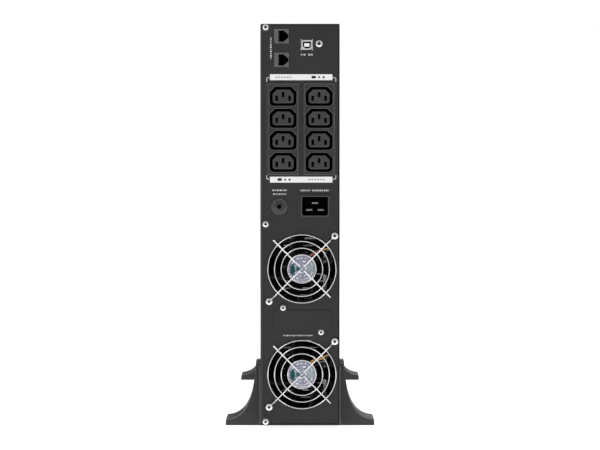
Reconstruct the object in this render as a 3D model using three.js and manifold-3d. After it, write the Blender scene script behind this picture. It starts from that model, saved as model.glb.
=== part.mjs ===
// A 2U rack and tower uninterruptible power supply, standing upright as a tower on two plastic stands.
// Millimetres. +Z is up, -Y is the rear with the sockets, +Y is the front with the display, and +X is to the
// right of someone who looks at the rear. The origin is the centre of the object's footprint, on the floor.
import * as THREE from "three";
import { mergeVertices } from "three/addons/utils/BufferGeometryUtils.js";
import Module from "manifold-3d";

const wasm = await Module();
wasm.setup();

// ---- driving dimensions ----
const TOTAL_DEPTH = 600;
const CASE_WIDTH = 86.5; // 2U less its clearance
const CASE_HEIGHT = 438; // the width of a 19 inch case, stood on its side
const SHEET = 1; // steel sheet
const GAP = 0.3; // clearance between pieces
const STAND_FLOOR = 4; // the stands' plate under the case
const STAND_WIDTH = 165.4; // over both toes
const CASE_Z = STAND_FLOOR + GAP;

const LEFT = -CASE_WIDTH / 2;
const RIGHT = CASE_WIDTH / 2;
const REAR = -TOTAL_DEPTH / 2 + 5; // outer face of the cover's rear flange
const PANEL = REAR + SHEET + 0.1; // outer face of the rear panel
const STEEL_FRONT = 262; // where the steel ends and the plastic front begins
const BEZEL_FRONT = 297;

// ---- materials ----
const paint = (color, roughness, metalness) =>
  new THREE.MeshStandardMaterial({ color, roughness, metalness });
const powderCoat = paint(0x38383a, 0.6, 0.3);
const darkPlastic = paint(0x303032, 0.55, 0);
const blackPlastic = paint(0x161617, 0.5, 0);
const greyPlastic = paint(0x6c6c6e, 0.5, 0);
const whitePlastic = paint(0xf4f4f4, 0.6, 0);
const chrome = paint(0xd8d8da, 0.25, 1);
const zinc = paint(0xb9bbbd, 0.35, 1);
const aluminium = paint(0xa8aaad, 0.45, 1);
const circuitBoard = paint(0x1f5a35, 0.5, 0);
const glass = paint(0x0c1420, 0.1, 0);
const redWire = paint(0xb3261e, 0.5, 0);
const batteryCase = paint(0x202020, 0.8, 0);

// ---- solids ----
// A closed three.js geometry as a manifold solid.
function solid(geometry) {
  const bare = geometry.clone();
  bare.deleteAttribute("normal");
  bare.deleteAttribute("uv");
  const merged = mergeVertices(bare, 1e-4);
  return new wasm.Manifold(
    new wasm.Mesh({
      numProp: 3,
      vertProperties: new Float32Array(merged.attributes.position.array),
      triVerts: new Uint32Array(merged.index.array),
    }),
  );
}

// A manifold solid as a three.js geometry.
function geometryOf(made) {
  const mesh = made.getMesh();
  const points = new Float32Array(mesh.numVert * 3);
  for (let i = 0; i < mesh.numVert; i++) {
    for (let k = 0; k < 3; k++) points[i * 3 + k] = mesh.vertProperties[i * mesh.numProp + k];
  }
  const geometry = new THREE.BufferGeometry();
  geometry.setAttribute("position", new THREE.BufferAttribute(points, 3));
  geometry.setIndex(new THREE.BufferAttribute(new Uint32Array(mesh.triVerts), 1));
  geometry.computeVertexNormals();
  return geometry;
}

const join = (first, ...rest) => rest.reduce((sum, next) => sum.add(next), first);
const cut = (first, ...rest) => rest.reduce((left, next) => left.subtract(next), first);

// A block from its two limits along each axis.
function block([x0, x1], [y0, y1], [z0, z1]) {
  const geometry = new THREE.BoxGeometry(x1 - x0, y1 - y0, z1 - z0);
  geometry.translate((x0 + x1) / 2, (y0 + y1) / 2, (z0 + z1) / 2);
  return solid(geometry);
}

// A block centred on (x, z), from y0 to y1.
const slab = (width, height, y0, y1, x = 0, z = 0) =>
  block([x - width / 2, x + width / 2], [y0, y1], [z - height / 2, z + height / 2]);

// An outline drawn in X and Z, extruded from y0 to y1.
function extrudeY(shape, y0, y1, curveSegments = 4) {
  const geometry = new THREE.ExtrudeGeometry(shape, { depth: y1 - y0, bevelEnabled: false, curveSegments });
  geometry.rotateX(Math.PI / 2);
  geometry.translate(0, y1, 0);
  return solid(geometry);
}

// An outline drawn in X and Y, extruded from z0 to z1.
function extrudeZ(shape, z0, z1, curveSegments = 4) {
  const geometry = new THREE.ExtrudeGeometry(shape, { depth: z1 - z0, bevelEnabled: false, curveSegments });
  geometry.translate(0, 0, z0);
  return solid(geometry);
}

// A cylinder along Y.
function rodY(radius, y0, y1, x = 0, z = 0, segments = 16) {
  const geometry = new THREE.CylinderGeometry(radius, radius, y1 - y0, segments);
  geometry.translate(x, (y0 + y1) / 2, z);
  return solid(geometry);
}

// A rectangle centred on (x, z), with one corner radius or four, from bottom right anticlockwise.
function roundedRect(width, height, radii, x = 0, z = 0) {
  const corners = [
    [1, -1],
    [1, 1],
    [-1, 1],
    [-1, -1],
  ];
  const shape = new THREE.Shape();
  corners.forEach(([sx, sz], i) => {
    const radius = Array.isArray(radii) ? radii[i] : radii;
    const [cx, cz] = [x + (sx * width) / 2, z + (sz * height) / 2];
    const below = [cx, cz - sz * radius];
    const beside = [cx - sx * radius, cz];
    const [enter, leave] = sx === sz ? [below, beside] : [beside, below];
    if (i === 0) shape.moveTo(...enter);
    else shape.lineTo(...enter);
    if (radius > 0) shape.quadraticCurveTo(cx, cz, ...leave);
  });
  return shape;
}

// The outline of a three-pole appliance coupler: its upper corners are chamfered and its lower ones round.
function couplerOutline(width, height, chamfer, radius, z) {
  const [right, low, high] = [width / 2, z - height / 2, z + height / 2];
  const shape = new THREE.Shape();
  shape.moveTo(-right + radius, low);
  shape.lineTo(right - radius, low);
  shape.quadraticCurveTo(right, low, right, low + radius);
  shape.lineTo(right, high - chamfer);
  shape.lineTo(right - chamfer, high);
  shape.lineTo(-right + chamfer, high);
  shape.lineTo(-right, high - chamfer);
  shape.lineTo(-right, low + radius);
  shape.quadraticCurveTo(-right, low, -right + radius, low);
  return shape;
}

// ---- scene graph ----
// A group at (x, y, z) in its parent.
function place(parent, x, y, z) {
  const group = new THREE.Group();
  group.position.set(x, y, z);
  parent.add(group);
  return group;
}

// Adds one named sub-part to a group.
function add(group, name, made, material) {
  const mesh = new THREE.Mesh(geometryOf(made), material);
  mesh.name = name;
  group.add(mesh);
}

const part = new THREE.Group();
const unit = place(part, 0, 0, CASE_Z); // z = 0 is the underside of the case
const rear = place(unit, 0, PANEL, 0); // y = 0 is the outer face of the rear panel

// ---- where the rear fittings sit: x across the panel and z above the underside ----
const TAB_SCREWS = { top: 434.1, middle: 219.3, bottom: 4 };
const TAB = { x: -37.5, radius: 5.5, flange: 2.8 };
const FAN_X = 2.1;
const FANS = { upper: 170.8, lower: 55.7 };
const OUTLET_X = { left: -18.4, right: 20.9 };
const OUTLETS_Z = 322.9;
const LABELS = { top: 379.8, bottom: 268 };
const INLET = { x: 16.4, z: 239 };
const BREAKER = { x: -22.5, z: 238.6 };
const JACK_X = -20.2;
const JACKS = { upper: 424.6, lower: 398.7 };
const USB = { x: 7.5, z: 415.1 };
const USB_SCREW = { x: 20.8, z: 416.3 };
const SLOT = { x: 2.1, z: 113.1, width: 63.4, height: 24.6 };
const SLOT_SCREWS = { left: [-18.5, 128], right: [23, 101.5] };

// ---- pan-head screws along Y, driven towards +Y ----
const SHANK = 1.7;
const SCREW_HOLE = 2.1;

// The head stands on y = 0.
function screw(headRadius, headHeight, length) {
  return join(rodY(headRadius, -headHeight, 0), rodY(SHANK, -0.5, length, 0, 0, 8));
}

// ---- case: cover, chassis and panels ----
const FOLD = 2.2; // outside radius of the cover's folds
const COVER_VENTS = { first: 150, count: 9, pitch: 10, width: 4, length: 50 };
const EAR_HOLES = { y: [222, 246], x: [-24, 24], radius: 2 };

// A cylinder through the whole height of the case.
function rodZ(radius, x, y) {
  const geometry = new THREE.CylinderGeometry(radius, radius, CASE_HEIGHT + 2, 8);
  geometry.rotateX(Math.PI / 2);
  geometry.translate(x, y, CASE_HEIGHT / 2);
  return solid(geometry);
}

// A folded sheet: the left side, the roof, the base, and a narrow flange with screw tabs at the rear.
function outerCover() {
  const middle = CASE_HEIGHT / 2;
  const fold = roundedRect(CASE_WIDTH, CASE_HEIGHT, [0, 0, FOLD, FOLD], 0, middle);
  const inner = [0, 0, FOLD - SHEET, FOLD - SHEET];
  const inside = roundedRect(CASE_WIDTH, CASE_HEIGHT - 2 * SHEET, inner, SHEET, middle);
  const wrap = cut(extrudeY(fold, REAR, STEEL_FRONT), extrudeY(inside, REAR - 1, STEEL_FRONT + 1));
  const outline = extrudeY(fold, REAR, REAR + SHEET);
  const flange = block([LEFT, LEFT + TAB.flange], [REAR, REAR + SHEET], [0, CASE_HEIGHT]);
  const tabs = Object.values(TAB_SCREWS).map((z) =>
    join(
      rodY(TAB.radius, REAR, REAR + SHEET, TAB.x, z, 24),
      block([LEFT, TAB.x], [REAR, REAR + SHEET], [z - TAB.radius, z + TAB.radius]),
    ),
  );
  const holes = Object.values(TAB_SCREWS).map((z) => rodY(SCREW_HOLE, REAR - 1, REAR + 3, TAB.x, z, 8));
  for (let i = 0; i < COVER_VENTS.count; i++) {
    const y = COVER_VENTS.first - i * COVER_VENTS.pitch;
    const half = COVER_VENTS.length / 2;
    holes.push(block([-half, half], [y, y + COVER_VENTS.width], [-1, CASE_HEIGHT + 1]));
  }
  for (const x of EAR_HOLES.x) {
    for (const y of EAR_HOLES.y) holes.push(rodZ(EAR_HOLES.radius, x, y));
  }
  return cut(join(wrap, join(flange, ...tabs).intersect(outline)), ...holes);
}

const CHASSIS_LOW = SHEET + GAP;
const CHASSIS_HIGH = CASE_HEIGHT - SHEET - GAP;
const CHASSIS_LIP = 16;

// The right side, with a lip folded inwards along its top and its bottom.
function chassisBase() {
  const wall = block([RIGHT - SHEET, RIGHT], [REAR, STEEL_FRONT], [CHASSIS_LOW, CHASSIS_HIGH]);
  const lips = [CHASSIS_LOW, CHASSIS_HIGH - SHEET].map((z) =>
    block([RIGHT - CHASSIS_LIP, RIGHT], [REAR + 4, STEEL_FRONT], [z, z + SHEET]),
  );
  return join(wall, ...lips);
}

const FAN_HOLE = 71.5 / 2; // half the hole spacing of a standard 80 mm fan
const FAN_BORE = 38;
const OUTLET_CUTOUT = { width: 31, height: 97 };
const INLET_CUTOUT = { width: 32.4, height: 24.4 };
const BREAKER_BARREL = 5.6;
const JACK = { width: 16.4, height: 16, depth: 21 };
const USB_CUTOUT = { width: 13.4, height: 11.2 };
const SLOT_OPENING = { width: 52, height: 16 };
const PANEL_WIDTH = CASE_WIDTH - 2 * (SHEET + GAP);

// The rear plate, with an opening for each fitting. y = 0 is its outer face.
function rearPanel() {
  const hole = (radius, x, z, segments = 8) => rodY(radius, -1, SHEET + 1, x, z, segments);
  const opening = ({ width, height }, x, z) => slab(width, height, -1, SHEET + 1, x, z);
  const holes = [
    opening(INLET_CUTOUT, INLET.x, INLET.z),
    hole(BREAKER_BARREL + GAP, BREAKER.x, BREAKER.z, 16),
    opening(USB_CUTOUT, USB.x, USB.z),
    hole(SCREW_HOLE, USB_SCREW.x, USB_SCREW.z),
    opening(SLOT_OPENING, SLOT.x, SLOT.z),
  ];
  for (const z of Object.values(FANS)) {
    holes.push(hole(FAN_BORE, FAN_X, z, 40));
    for (const side of [-1, 1]) holes.push(hole(SCREW_HOLE, FAN_X + side * FAN_HOLE, z + side * FAN_HOLE));
  }
  for (const x of Object.values(OUTLET_X)) holes.push(opening(OUTLET_CUTOUT, x, OUTLETS_Z));
  for (const z of Object.values(JACKS)) {
    holes.push(slab(JACK.width + 2 * GAP, JACK.height + 2 * GAP, -1, SHEET + 1, JACK_X, z));
  }
  for (const [x, z] of Object.values(SLOT_SCREWS)) holes.push(hole(SCREW_HOLE, x, z));
  for (const z of Object.values(TAB_SCREWS)) holes.push(hole(SCREW_HOLE, TAB.x, z));
  const plate = slab(PANEL_WIDTH, CHASSIS_HIGH - CHASSIS_LOW, 0, SHEET, 0, CASE_HEIGHT / 2);
  return cut(plate, ...holes);
}

const TRAY = { x: 35, back: -34, front: 256, low: 12, high: 322 };

// The plate behind the plastic front, open for the battery drawer and for the display's cable.
function frontBulkhead() {
  const [y0, y1] = [STEEL_FRONT - 5, STEEL_FRONT - 4];
  const height = CHASSIS_HIGH - CHASSIS_LOW - 2 * (SHEET + GAP);
  const plate = slab(PANEL_WIDTH, height, y0, y1, 0, CASE_HEIGHT / 2);
  const bay = block([-TRAY.x - 2, TRAY.x + 2], [y0 - 1, y1 + 1], [TRAY.low - 2, TRAY.high + 2]);
  const cableWay = slab(40, 40, y0 - 1, y1 + 1, 0, 380);
  return cut(plate, bay, cableWay);
}

add(unit, "outer_cover", outerCover(), powderCoat);
add(unit, "chassis_base", chassisBase(), powderCoat);
add(rear, "rear_panel", rearPanel(), powderCoat);
add(unit, "front_bulkhead", frontBulkhead(), zinc);
for (const [name, z] of Object.entries(TAB_SCREWS)) {
  add(place(unit, TAB.x, REAR, z), `cover_screw_${name}`, screw(3.4, 1.9, 6), zinc);
}

// ---- mains outlets: two strips of four ----
const OUTLET_BANK = { width: 34, height: 100, depth: 24, rim: 1.5, pitch: 24, count: 4 };
const RECESS = { width: 29.4, height: 21, chamfer: 5.6, radius: 4.2, depth: 17 };
const TONGUE = { width: 24, height: 15.8, chamfer: 5.4, radius: 3.4 };
const CONTACT = { width: 2.2, height: 5.4, depth: 12 };
const CONTACT_PLACES = [
  [-7, -2],
  [7, -2],
  [0, 2],
];

// One strip: a thin rim on the panel, and a block with four sockets behind it.
function outletBank() {
  const { width, height, depth, rim, pitch, count } = OUTLET_BANK;
  const face = extrudeY(roundedRect(width, height, 1.5), -rim, 0, 2);
  const body = slab(OUTLET_CUTOUT.width - 2 * GAP, OUTLET_CUTOUT.height - 2 * GAP, -0.5, depth);
  const sockets = [];
  for (let i = 0; i < count; i++) {
    const z = (i - (count - 1) / 2) * pitch;
    const recess = couplerOutline(RECESS.width, RECESS.height, RECESS.chamfer, RECESS.radius, z);
    const tongue = couplerOutline(TONGUE.width, TONGUE.height, TONGUE.chamfer, TONGUE.radius, z);
    recess.holes.push(new THREE.Path(tongue.getPoints(2)));
    sockets.push(extrudeY(recess, -rim - 1, RECESS.depth - rim, 2));
    for (const [dx, dz] of CONTACT_PLACES) {
      sockets.push(slab(CONTACT.width, CONTACT.height, -rim - 1, CONTACT.depth - rim, dx, z + dz));
    }
  }
  return cut(join(face, body), ...sockets);
}

for (const [side, x] of Object.entries(OUTLET_X)) {
  add(place(rear, x, 0, OUTLETS_Z), `outlet_bank_${side}`, outletBank(), darkPlastic);
}
for (const [name, z] of Object.entries(LABELS)) {
  add(place(rear, 1.3, 0, z), `output_label_${name}`, slab(68.2, 6.5, -0.2, 0), whitePlastic);
}

// ---- mains inlet: a housing with three flat blades ----
const INLET_BODY = { width: 38, height: 26.8, rim: 2, depth: 24 };
const CAVITY = { width: 28.4, height: 20.8, depth: 19 };
const BLADE = { width: 6.8, thickness: 2, recess: 5, tail: 6 };
const BLADES = { earth: [0, 3.6], line: [-6.3, -3.9], neutral: [6.3, -3.9] };

function inletHousing() {
  const { width, height, rim, depth } = INLET_BODY;
  const face = extrudeY(roundedRect(width, height, 1.2), -rim, 0, 2);
  const body = slab(INLET_CUTOUT.width - 2 * GAP, INLET_CUTOUT.height - 2 * GAP, -1, depth);
  const outline = roundedRect(CAVITY.width, CAVITY.height, [2.6, 0.6, 0.6, 2.6]);
  const cavity = extrudeY(outline, -rim - 1, CAVITY.depth - rim, 3);
  const ways = Object.values(BLADES).map(([dx, dz]) =>
    slab(BLADE.width + 2 * GAP, BLADE.thickness + 2 * GAP, 0, depth + 1, dx, dz),
  );
  return cut(join(face, body), cavity, ...ways);
}

const inlet = place(rear, INLET.x, 0, INLET.z);
add(inlet, "inlet_housing", inletHousing(), darkPlastic);
for (const [pole, [dx, dz]] of Object.entries(BLADES)) {
  const start = BLADE.recess - INLET_BODY.rim;
  const blade = slab(BLADE.width, BLADE.thickness, start, INLET_BODY.depth + BLADE.tail, dx, dz);
  add(inlet, `inlet_blade_${pole}`, blade, chrome);
}

// ---- thermal breaker with a reset button ----
const COLLAR = { radius: 9.2, height: 2.4 };
const NECK = { radius: 5.8, height: 4 };
const BUTTON = { radius: 4, length: 14, bore: 18 };

function breakerBody() {
  const collar = rodY(COLLAR.radius, -COLLAR.height, 0, 0, 0, 28);
  const neck = rodY(NECK.radius, -NECK.height, -1, 0, 0, 24);
  const barrel = rodY(BREAKER_BARREL, -1, 10, 0, 0, 20);
  const box = slab(15, 32, SHEET + 2, 36);
  const bore = rodY(BUTTON.radius + GAP, -NECK.height - 1, BUTTON.bore - NECK.height, 0, 0, 20);
  return cut(join(collar, neck, barrel, box), bore);
}

const breaker = place(rear, BREAKER.x, 0, BREAKER.z);
const buttonTip = -TOTAL_DEPTH / 2 - PANEL; // the button is the rearmost point of the object
add(breaker, "breaker_body", breakerBody(), darkPlastic);
add(
  breaker,
  "breaker_button",
  rodY(BUTTON.radius, buttonTip, buttonTip + BUTTON.length, 0, 0, 20),
  blackPlastic,
);

// ---- data sockets ----
const JACK_RIM = 0.8;
const JACK_OPENING = { left: -3.3, depth: 14 };
const JACK_STEPS = [
  [6.6, 6.1],
  [8.8, 4.4],
  [10.8, 2.4],
]; // how far each step reaches from the opening's left edge, and half its height

// The opening for a modular plug that is turned so that its latch points to +X.
function jackOpening() {
  const shape = new THREE.Shape();
  const { left } = JACK_OPENING;
  let reach = 0;
  shape.moveTo(left, JACK_STEPS[0][1]);
  for (const [x, half] of JACK_STEPS) {
    shape.lineTo(left + reach, -half);
    shape.lineTo(left + x, -half);
    reach = x;
  }
  for (const [x, half] of [...JACK_STEPS].reverse()) {
    if (x < reach) shape.lineTo(left + x, shape.currentPoint.y);
    shape.lineTo(left + x, half);
  }
  return shape;
}

function dataJack() {
  const body = slab(JACK.width, JACK.height, -JACK_RIM, JACK.depth);
  return cut(body, extrudeY(jackOpening(), -JACK_RIM - 1, JACK_OPENING.depth - JACK_RIM));
}

for (const [name, z] of Object.entries(JACKS)) {
  add(place(rear, JACK_X, 0, z), `data_jack_${name}`, dataJack(), greyPlastic);
}

// ---- square data receptacle, with its two chamfered corners at the bottom ----
const USB_SHELL = { width: 12.8, height: 10.6, rim: 0.9, depth: 16, chamfer: 2.4 };
const USB_MOUTH = { width: 8.5, height: 7.3, chamfer: 1.8 };
const USB_TONGUE = { width: 5.8, height: 3.8 };

function squareOutline(width, height, chamfer) {
  const [w, h] = [width / 2, height / 2];
  const shape = new THREE.Shape();
  shape.moveTo(-w + chamfer, -h);
  shape.lineTo(w - chamfer, -h);
  shape.lineTo(w, -h + chamfer);
  shape.lineTo(w, h);
  shape.lineTo(-w, h);
  shape.lineTo(-w, -h + chamfer);
  return shape;
}

function usbShell() {
  const { width, height, rim, depth, chamfer } = USB_SHELL;
  const shell = extrudeY(squareOutline(width, height, chamfer), -rim, depth);
  const mouth = squareOutline(USB_MOUTH.width, USB_MOUTH.height, USB_MOUTH.chamfer);
  const ears = [-1, 1].flatMap((sx) => [-1, 1].map((sz) => slab(1.2, 3, -rim, -0.1, sx * 6, sz * 4.6)));
  return cut(join(shell, ...ears), extrudeY(mouth, -rim - 1, depth - 1));
}

function usbTongue() {
  const back = USB_SHELL.depth - 1 - GAP;
  const fit = squareOutline(USB_MOUTH.width - 2 * GAP, USB_MOUTH.height - 2 * GAP, USB_MOUTH.chamfer);
  return join(extrudeY(fit, 11, back), slab(USB_TONGUE.width, USB_TONGUE.height, 0.6, 12));
}

const usb = place(rear, USB.x, 0, USB.z);
add(usb, "usb_shell", usbShell(), zinc);
add(usb, "usb_tongue", usbTongue(), whitePlastic);
add(place(rear, USB_SCREW.x, 0, USB_SCREW.z), "usb_screw", screw(4, 2.2, 5), zinc);

// ---- blanking plate over the battery extension opening ----
// A plate with an ear for each screw.
function slotCover() {
  const plate = extrudeY(roundedRect(SLOT.width, SLOT.height, 2, SLOT.x, SLOT.z), -SHEET, 0, 2);
  const ears = Object.values(SLOT_SCREWS).map(([x, z]) => rodY(5, -SHEET, 0, x, z, 20));
  const holes = Object.values(SLOT_SCREWS).map(([x, z]) => rodY(SCREW_HOLE, -SHEET - 1, 1, x, z, 8));
  return cut(join(plate, ...ears), ...holes);
}

add(rear, "slot_cover", slotCover(), powderCoat);
for (const [side, [x, z]] of Object.entries(SLOT_SCREWS)) {
  add(place(rear, x, -SHEET, z), `slot_cover_screw_${side}`, screw(3.2, 2, 6), zinc);
}

// ---- fans: frame, rotor, finger guard, screws and lead ----
const FAN = { size: 79.8, depth: 25, gap: 0.1 };
const STATOR = { radius: 16.2, depth: 6.5 };
const STRUT = { count: 4, width: 3.4, depth: 3.6, first: 0.62, sweep: 0.42 };
const ROTOR = { hub: 17.2, tip: 36.6, start: 8, end: 24, blades: 7 };
const VANE = { chord: 19, thickness: 1.6, pitch: 0.62 };
const CORNERS = [-1, 1].flatMap((sx) => [-1, 1].map((sz) => [sx * FAN_HOLE, sz * FAN_HOLE]));

// y = 0 is the fan's outlet face, which lies against the panel.
function fanFrame() {
  const frame = extrudeY(roundedRect(FAN.size, FAN.size, 4), 0, FAN.depth, 2);
  const bore = rodY(FAN_BORE, -1, FAN.depth + 1, 0, 0, 40);
  const holes = CORNERS.map(([x, z]) => rodY(SCREW_HOLE, -1, FAN.depth + 1, x, z, 8));
  const stator = rodY(STATOR.radius, 0, STATOR.depth, 0, 0, 28);
  const struts = [];
  for (let i = 0; i < STRUT.count; i++) {
    const angle = STRUT.first + (i * 2 * Math.PI) / STRUT.count;
    const hub = new THREE.Vector2(14, 0).rotateAround(new THREE.Vector2(), angle);
    const rim = new THREE.Vector2(39, 0).rotateAround(new THREE.Vector2(), angle - STRUT.sweep);
    const middle = hub.clone().add(rim).multiplyScalar(0.5);
    const strut = new THREE.BoxGeometry(hub.distanceTo(rim), STRUT.depth, STRUT.width);
    strut.rotateY(-rim.clone().sub(hub).angle());
    strut.translate(middle.x, 0.4 + STRUT.depth / 2, middle.y);
    struts.push(solid(strut));
  }
  return join(cut(frame, bore, ...holes), stator, ...struts);
}

function fanRotor() {
  const hub = rodY(ROTOR.hub, ROTOR.start, ROTOR.end, 0, 0, 28);
  const blades = [];
  for (let i = 0; i < ROTOR.blades; i++) {
    const root = ROTOR.hub - 3;
    const tip = ROTOR.tip - 1.4;
    const blade = new THREE.BoxGeometry(tip - root, VANE.thickness, VANE.chord);
    blade.rotateX(Math.PI / 2 - VANE.pitch);
    blade.translate((root + tip) / 2, (ROTOR.start + ROTOR.end) / 2, 0);
    blade.rotateY((i * 2 * Math.PI) / ROTOR.blades);
    blades.push(solid(blade));
  }
  return join(hub, ...blades);
}

const GUARD = { rings: [15.4, 22.6, 29.9, 37.1], wire: 0.75, bar: 0.9, inner: 2.6, outer: 44.4 };
const GUARD_RINGS_Y = -3.3;
const GUARD_BARS_Y = GUARD_RINGS_Y - 0.55;
const EYELET = { radius: 2.9, wire: 0.7, y: -0.8 };

// Four rings on four diagonal bars. y = 0 is the panel's outer face.
function fanGuard() {
  const turned = (geometry, angle) => solid(geometry.rotateY(-angle));
  const ring = (radius, wire, sides, segments) =>
    new THREE.TorusGeometry(radius, wire, sides, segments).rotateX(Math.PI / 2);
  const pieces = GUARD.rings.map((radius) =>
    solid(ring(radius, GUARD.wire, 6, 28).translate(0, GUARD_RINGS_Y, 0)),
  );
  for (let quarter = 0; quarter < 4; quarter++) {
    const bar = new THREE.CylinderGeometry(GUARD.bar, GUARD.bar, GUARD.outer - GUARD.inner, 6);
    bar.rotateZ(Math.PI / 2).translate((GUARD.inner + GUARD.outer) / 2, GUARD_BARS_Y, 0);
    pieces.push(turned(bar, Math.PI / 4 + (quarter * Math.PI) / 2));
  }
  // Two opposite bars step down to an eyelet that lies on the panel, under a screw.
  const corner = FAN_HOLE * Math.SQRT2;
  const [top, foot] = [GUARD_BARS_Y - GUARD.bar + 0.1, -0.2];
  for (const angle of [Math.PI / 4, (5 * Math.PI) / 4]) {
    const step = new THREE.BoxGeometry(2, foot - top, 1.6);
    step.translate(GUARD.outer - 1, (foot + top) / 2, 0);
    const toe = new THREE.BoxGeometry(corner - EYELET.radius - GUARD.outer + 2, 1.2, 1.6);
    toe.translate((corner - EYELET.radius + GUARD.outer) / 2, EYELET.y, 0);
    const eye = ring(EYELET.radius, EYELET.wire, 6, 16).translate(corner, EYELET.y, 0);
    pieces.push(...[step, toe, eye].map((geometry) => turned(geometry, angle)));
  }
  return join(...pieces);
}

const LEAD_ROUTE = [
  [9.5, 12.5],
  [14, 15],
  [20, 17.2],
  [25.5, 19],
  [30, 20.8],
]; // x and z, from the stator to the rim of the panel's opening

// The motor's wires, which lie along the rear of the struts.
function fanLead() {
  const points = LEAD_ROUTE.map(([x, z]) => new THREE.Vector3(x, -1, z));
  const section = new THREE.Shape().absellipse(0, 0, 0.8, 0.8, 0, 2 * Math.PI);
  const extrudePath = new THREE.CatmullRomCurve3(points);
  return solid(new THREE.ExtrudeGeometry(section, { steps: 14, curveSegments: 3, extrudePath }));
}

for (const [name, z] of Object.entries(FANS)) {
  const guard = place(rear, FAN_X, 0, z);
  const fan = place(guard, 0, SHEET + FAN.gap, 0);
  add(fan, `fan_frame_${name}`, fanFrame(), blackPlastic);
  add(fan, `fan_rotor_${name}`, fanRotor(), blackPlastic);
  add(fan, `fan_lead_${name}`, fanLead(), redWire);
  add(guard, `fan_guard_${name}`, fanGuard(), chrome);
  for (const [corner, side] of Object.entries({ left: -1, right: 1 })) {
    const spot = place(guard, side * FAN_HOLE, -1.6, side * FAN_HOLE);
    add(spot, `guard_screw_${name}_${corner}`, screw(3.9, 2.2, 12), zinc);
  }
}

// ---- tower stands: each is two halves, with the case between them ----
const STAND = { depth: 40, height: 70.5, upright: 5.6, waist: 68 };
const STANDS = { rear: REAR + 50, front: REAR + 499 }; // the middle of each stand
const STAND_NOTCH = { near: 3, far: 15, depth: 2.4 }; // across the top, measured from its rear face

// The left half, its middle plane at y = 0: a toe that sweeps up to a thin upright, and half of the plate.
function standHalf() {
  const inner = LEFT - GAP;
  const tip = -STAND_WIDTH / 2;
  const shape = new THREE.Shape();
  shape.moveTo(tip, 0);
  shape.lineTo(-GAP / 2, 0);
  shape.lineTo(-GAP / 2, STAND_FLOOR);
  shape.lineTo(inner, STAND_FLOOR);
  shape.lineTo(inner, STAND.height);
  shape.lineTo(inner - STAND.upright, STAND.height);
  shape.lineTo(inner - STAND.upright, STAND.waist);
  shape.bezierCurveTo(-52, 22, -64, 9, tip + 1.6, 7.6);
  shape.lineTo(tip + 0.4, 6.4);
  const half = extrudeY(shape, -STAND.depth / 2, STAND.depth / 2, 12);
  const rearFace = -STAND.depth / 2;
  const notch = block(
    [inner - STAND.upright - 1, inner + 1],
    [rearFace + STAND_NOTCH.near, rearFace + STAND_NOTCH.far],
    [STAND.height - STAND_NOTCH.depth, STAND.height + 1],
  );
  return cut(half, notch);
}

for (const [name, y] of Object.entries(STANDS)) {
  for (const [side, flip] of Object.entries({ left: 1, right: -1 })) {
    const stand = place(part, 0, y, 0);
    stand.scale.x = flip;
    add(stand, `stand_${name}_${side}`, standHalf(), darkPlastic);
  }
}

// ---- front: a bezel, and a round display that turns to suit tower or rack use ----
const CROWN = 9; // how far the bezel's front face bulges
const BEZEL_WALL = 2.4;
const VENT = { width: 58, height: 3.4, pitch: 9.5, radius: 1.6 };
const VENT_ROWS = [
  { from: 30, count: 25 },
  { from: 378, count: 5 },
];
const DIAL_Z = 322;
const DIAL = { radius: 34, face: TOTAL_DEPTH / 2 - 1.8, back: 287, hub: 9, boss: 38.5 };

// The bezel's section, seen from above, drawn in by inset.
function bezelSection(inset, back) {
  const side = RIGHT - inset;
  const front = BEZEL_FRONT - inset;
  const shape = new THREE.Shape();
  shape.moveTo(-side, back);
  shape.lineTo(side, back);
  shape.lineTo(side, front - CROWN);
  shape.bezierCurveTo(side, front - 2, side / 2, front, 0, front);
  shape.bezierCurveTo(-side / 2, front, -side, front - 2, -side, front - CROWN);
  return shape;
}

function frontBezel() {
  const shell = extrudeZ(bezelSection(0, STEEL_FRONT + GAP), 0, CASE_HEIGHT, 6);
  const hollow = extrudeZ(bezelSection(BEZEL_WALL, STEEL_FRONT - 1), BEZEL_WALL, CASE_HEIGHT - BEZEL_WALL, 6);
  const slots = [];
  for (const { from, count } of VENT_ROWS) {
    for (let i = 0; i < count; i++) {
      const slot = roundedRect(VENT.width, VENT.height, VENT.radius, 0, from + i * VENT.pitch);
      slots.push(extrudeY(slot, BEZEL_FRONT - CROWN - 6, BEZEL_FRONT + 2, 1));
    }
  }
  const boss = rodY(DIAL.boss, DIAL.back - 3, BEZEL_FRONT + 0.6, 0, DIAL_Z, 40);
  const well = rodY(DIAL.radius + GAP, DIAL.back - GAP, TOTAL_DEPTH, 0, DIAL_Z, 40);
  const shaft = rodY(DIAL.hub + GAP, DIAL.back - 6, DIAL.back + 1, 0, DIAL_Z, 24);
  return cut(join(cut(shell, hollow, ...slots), boss), well, shaft);
}

const WINDOW = { width: 44, height: 28, z: 8, thickness: 1.6 };
const KEY = { width: 10, height: 6, z: -17.5, travel: 1.2, body: 6 };
const KEYS = { left: -14, middle: 0, right: 14 };

function displayDial() {
  const disc = rodY(DIAL.radius, DIAL.back, DIAL.face, 0, 0, 40);
  const hub = rodY(DIAL.hub, DIAL.back - 6, DIAL.back + 1, 0, 0, 24);
  const pane = roundedRect(WINDOW.width, WINDOW.height, 2, 0, WINDOW.z);
  const keyways = Object.values(KEYS).map((x) => {
    const keyway = roundedRect(KEY.width + 2 * GAP, KEY.height + 2 * GAP, 2.6, x, KEY.z);
    return extrudeY(keyway, DIAL.face - KEY.body - KEY.travel - GAP, DIAL.face + 1, 2);
  });
  const recess = extrudeY(pane, DIAL.face - WINDOW.thickness - GAP, DIAL.face + 1, 2);
  return cut(join(disc, hub), recess, ...keyways);
}

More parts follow.
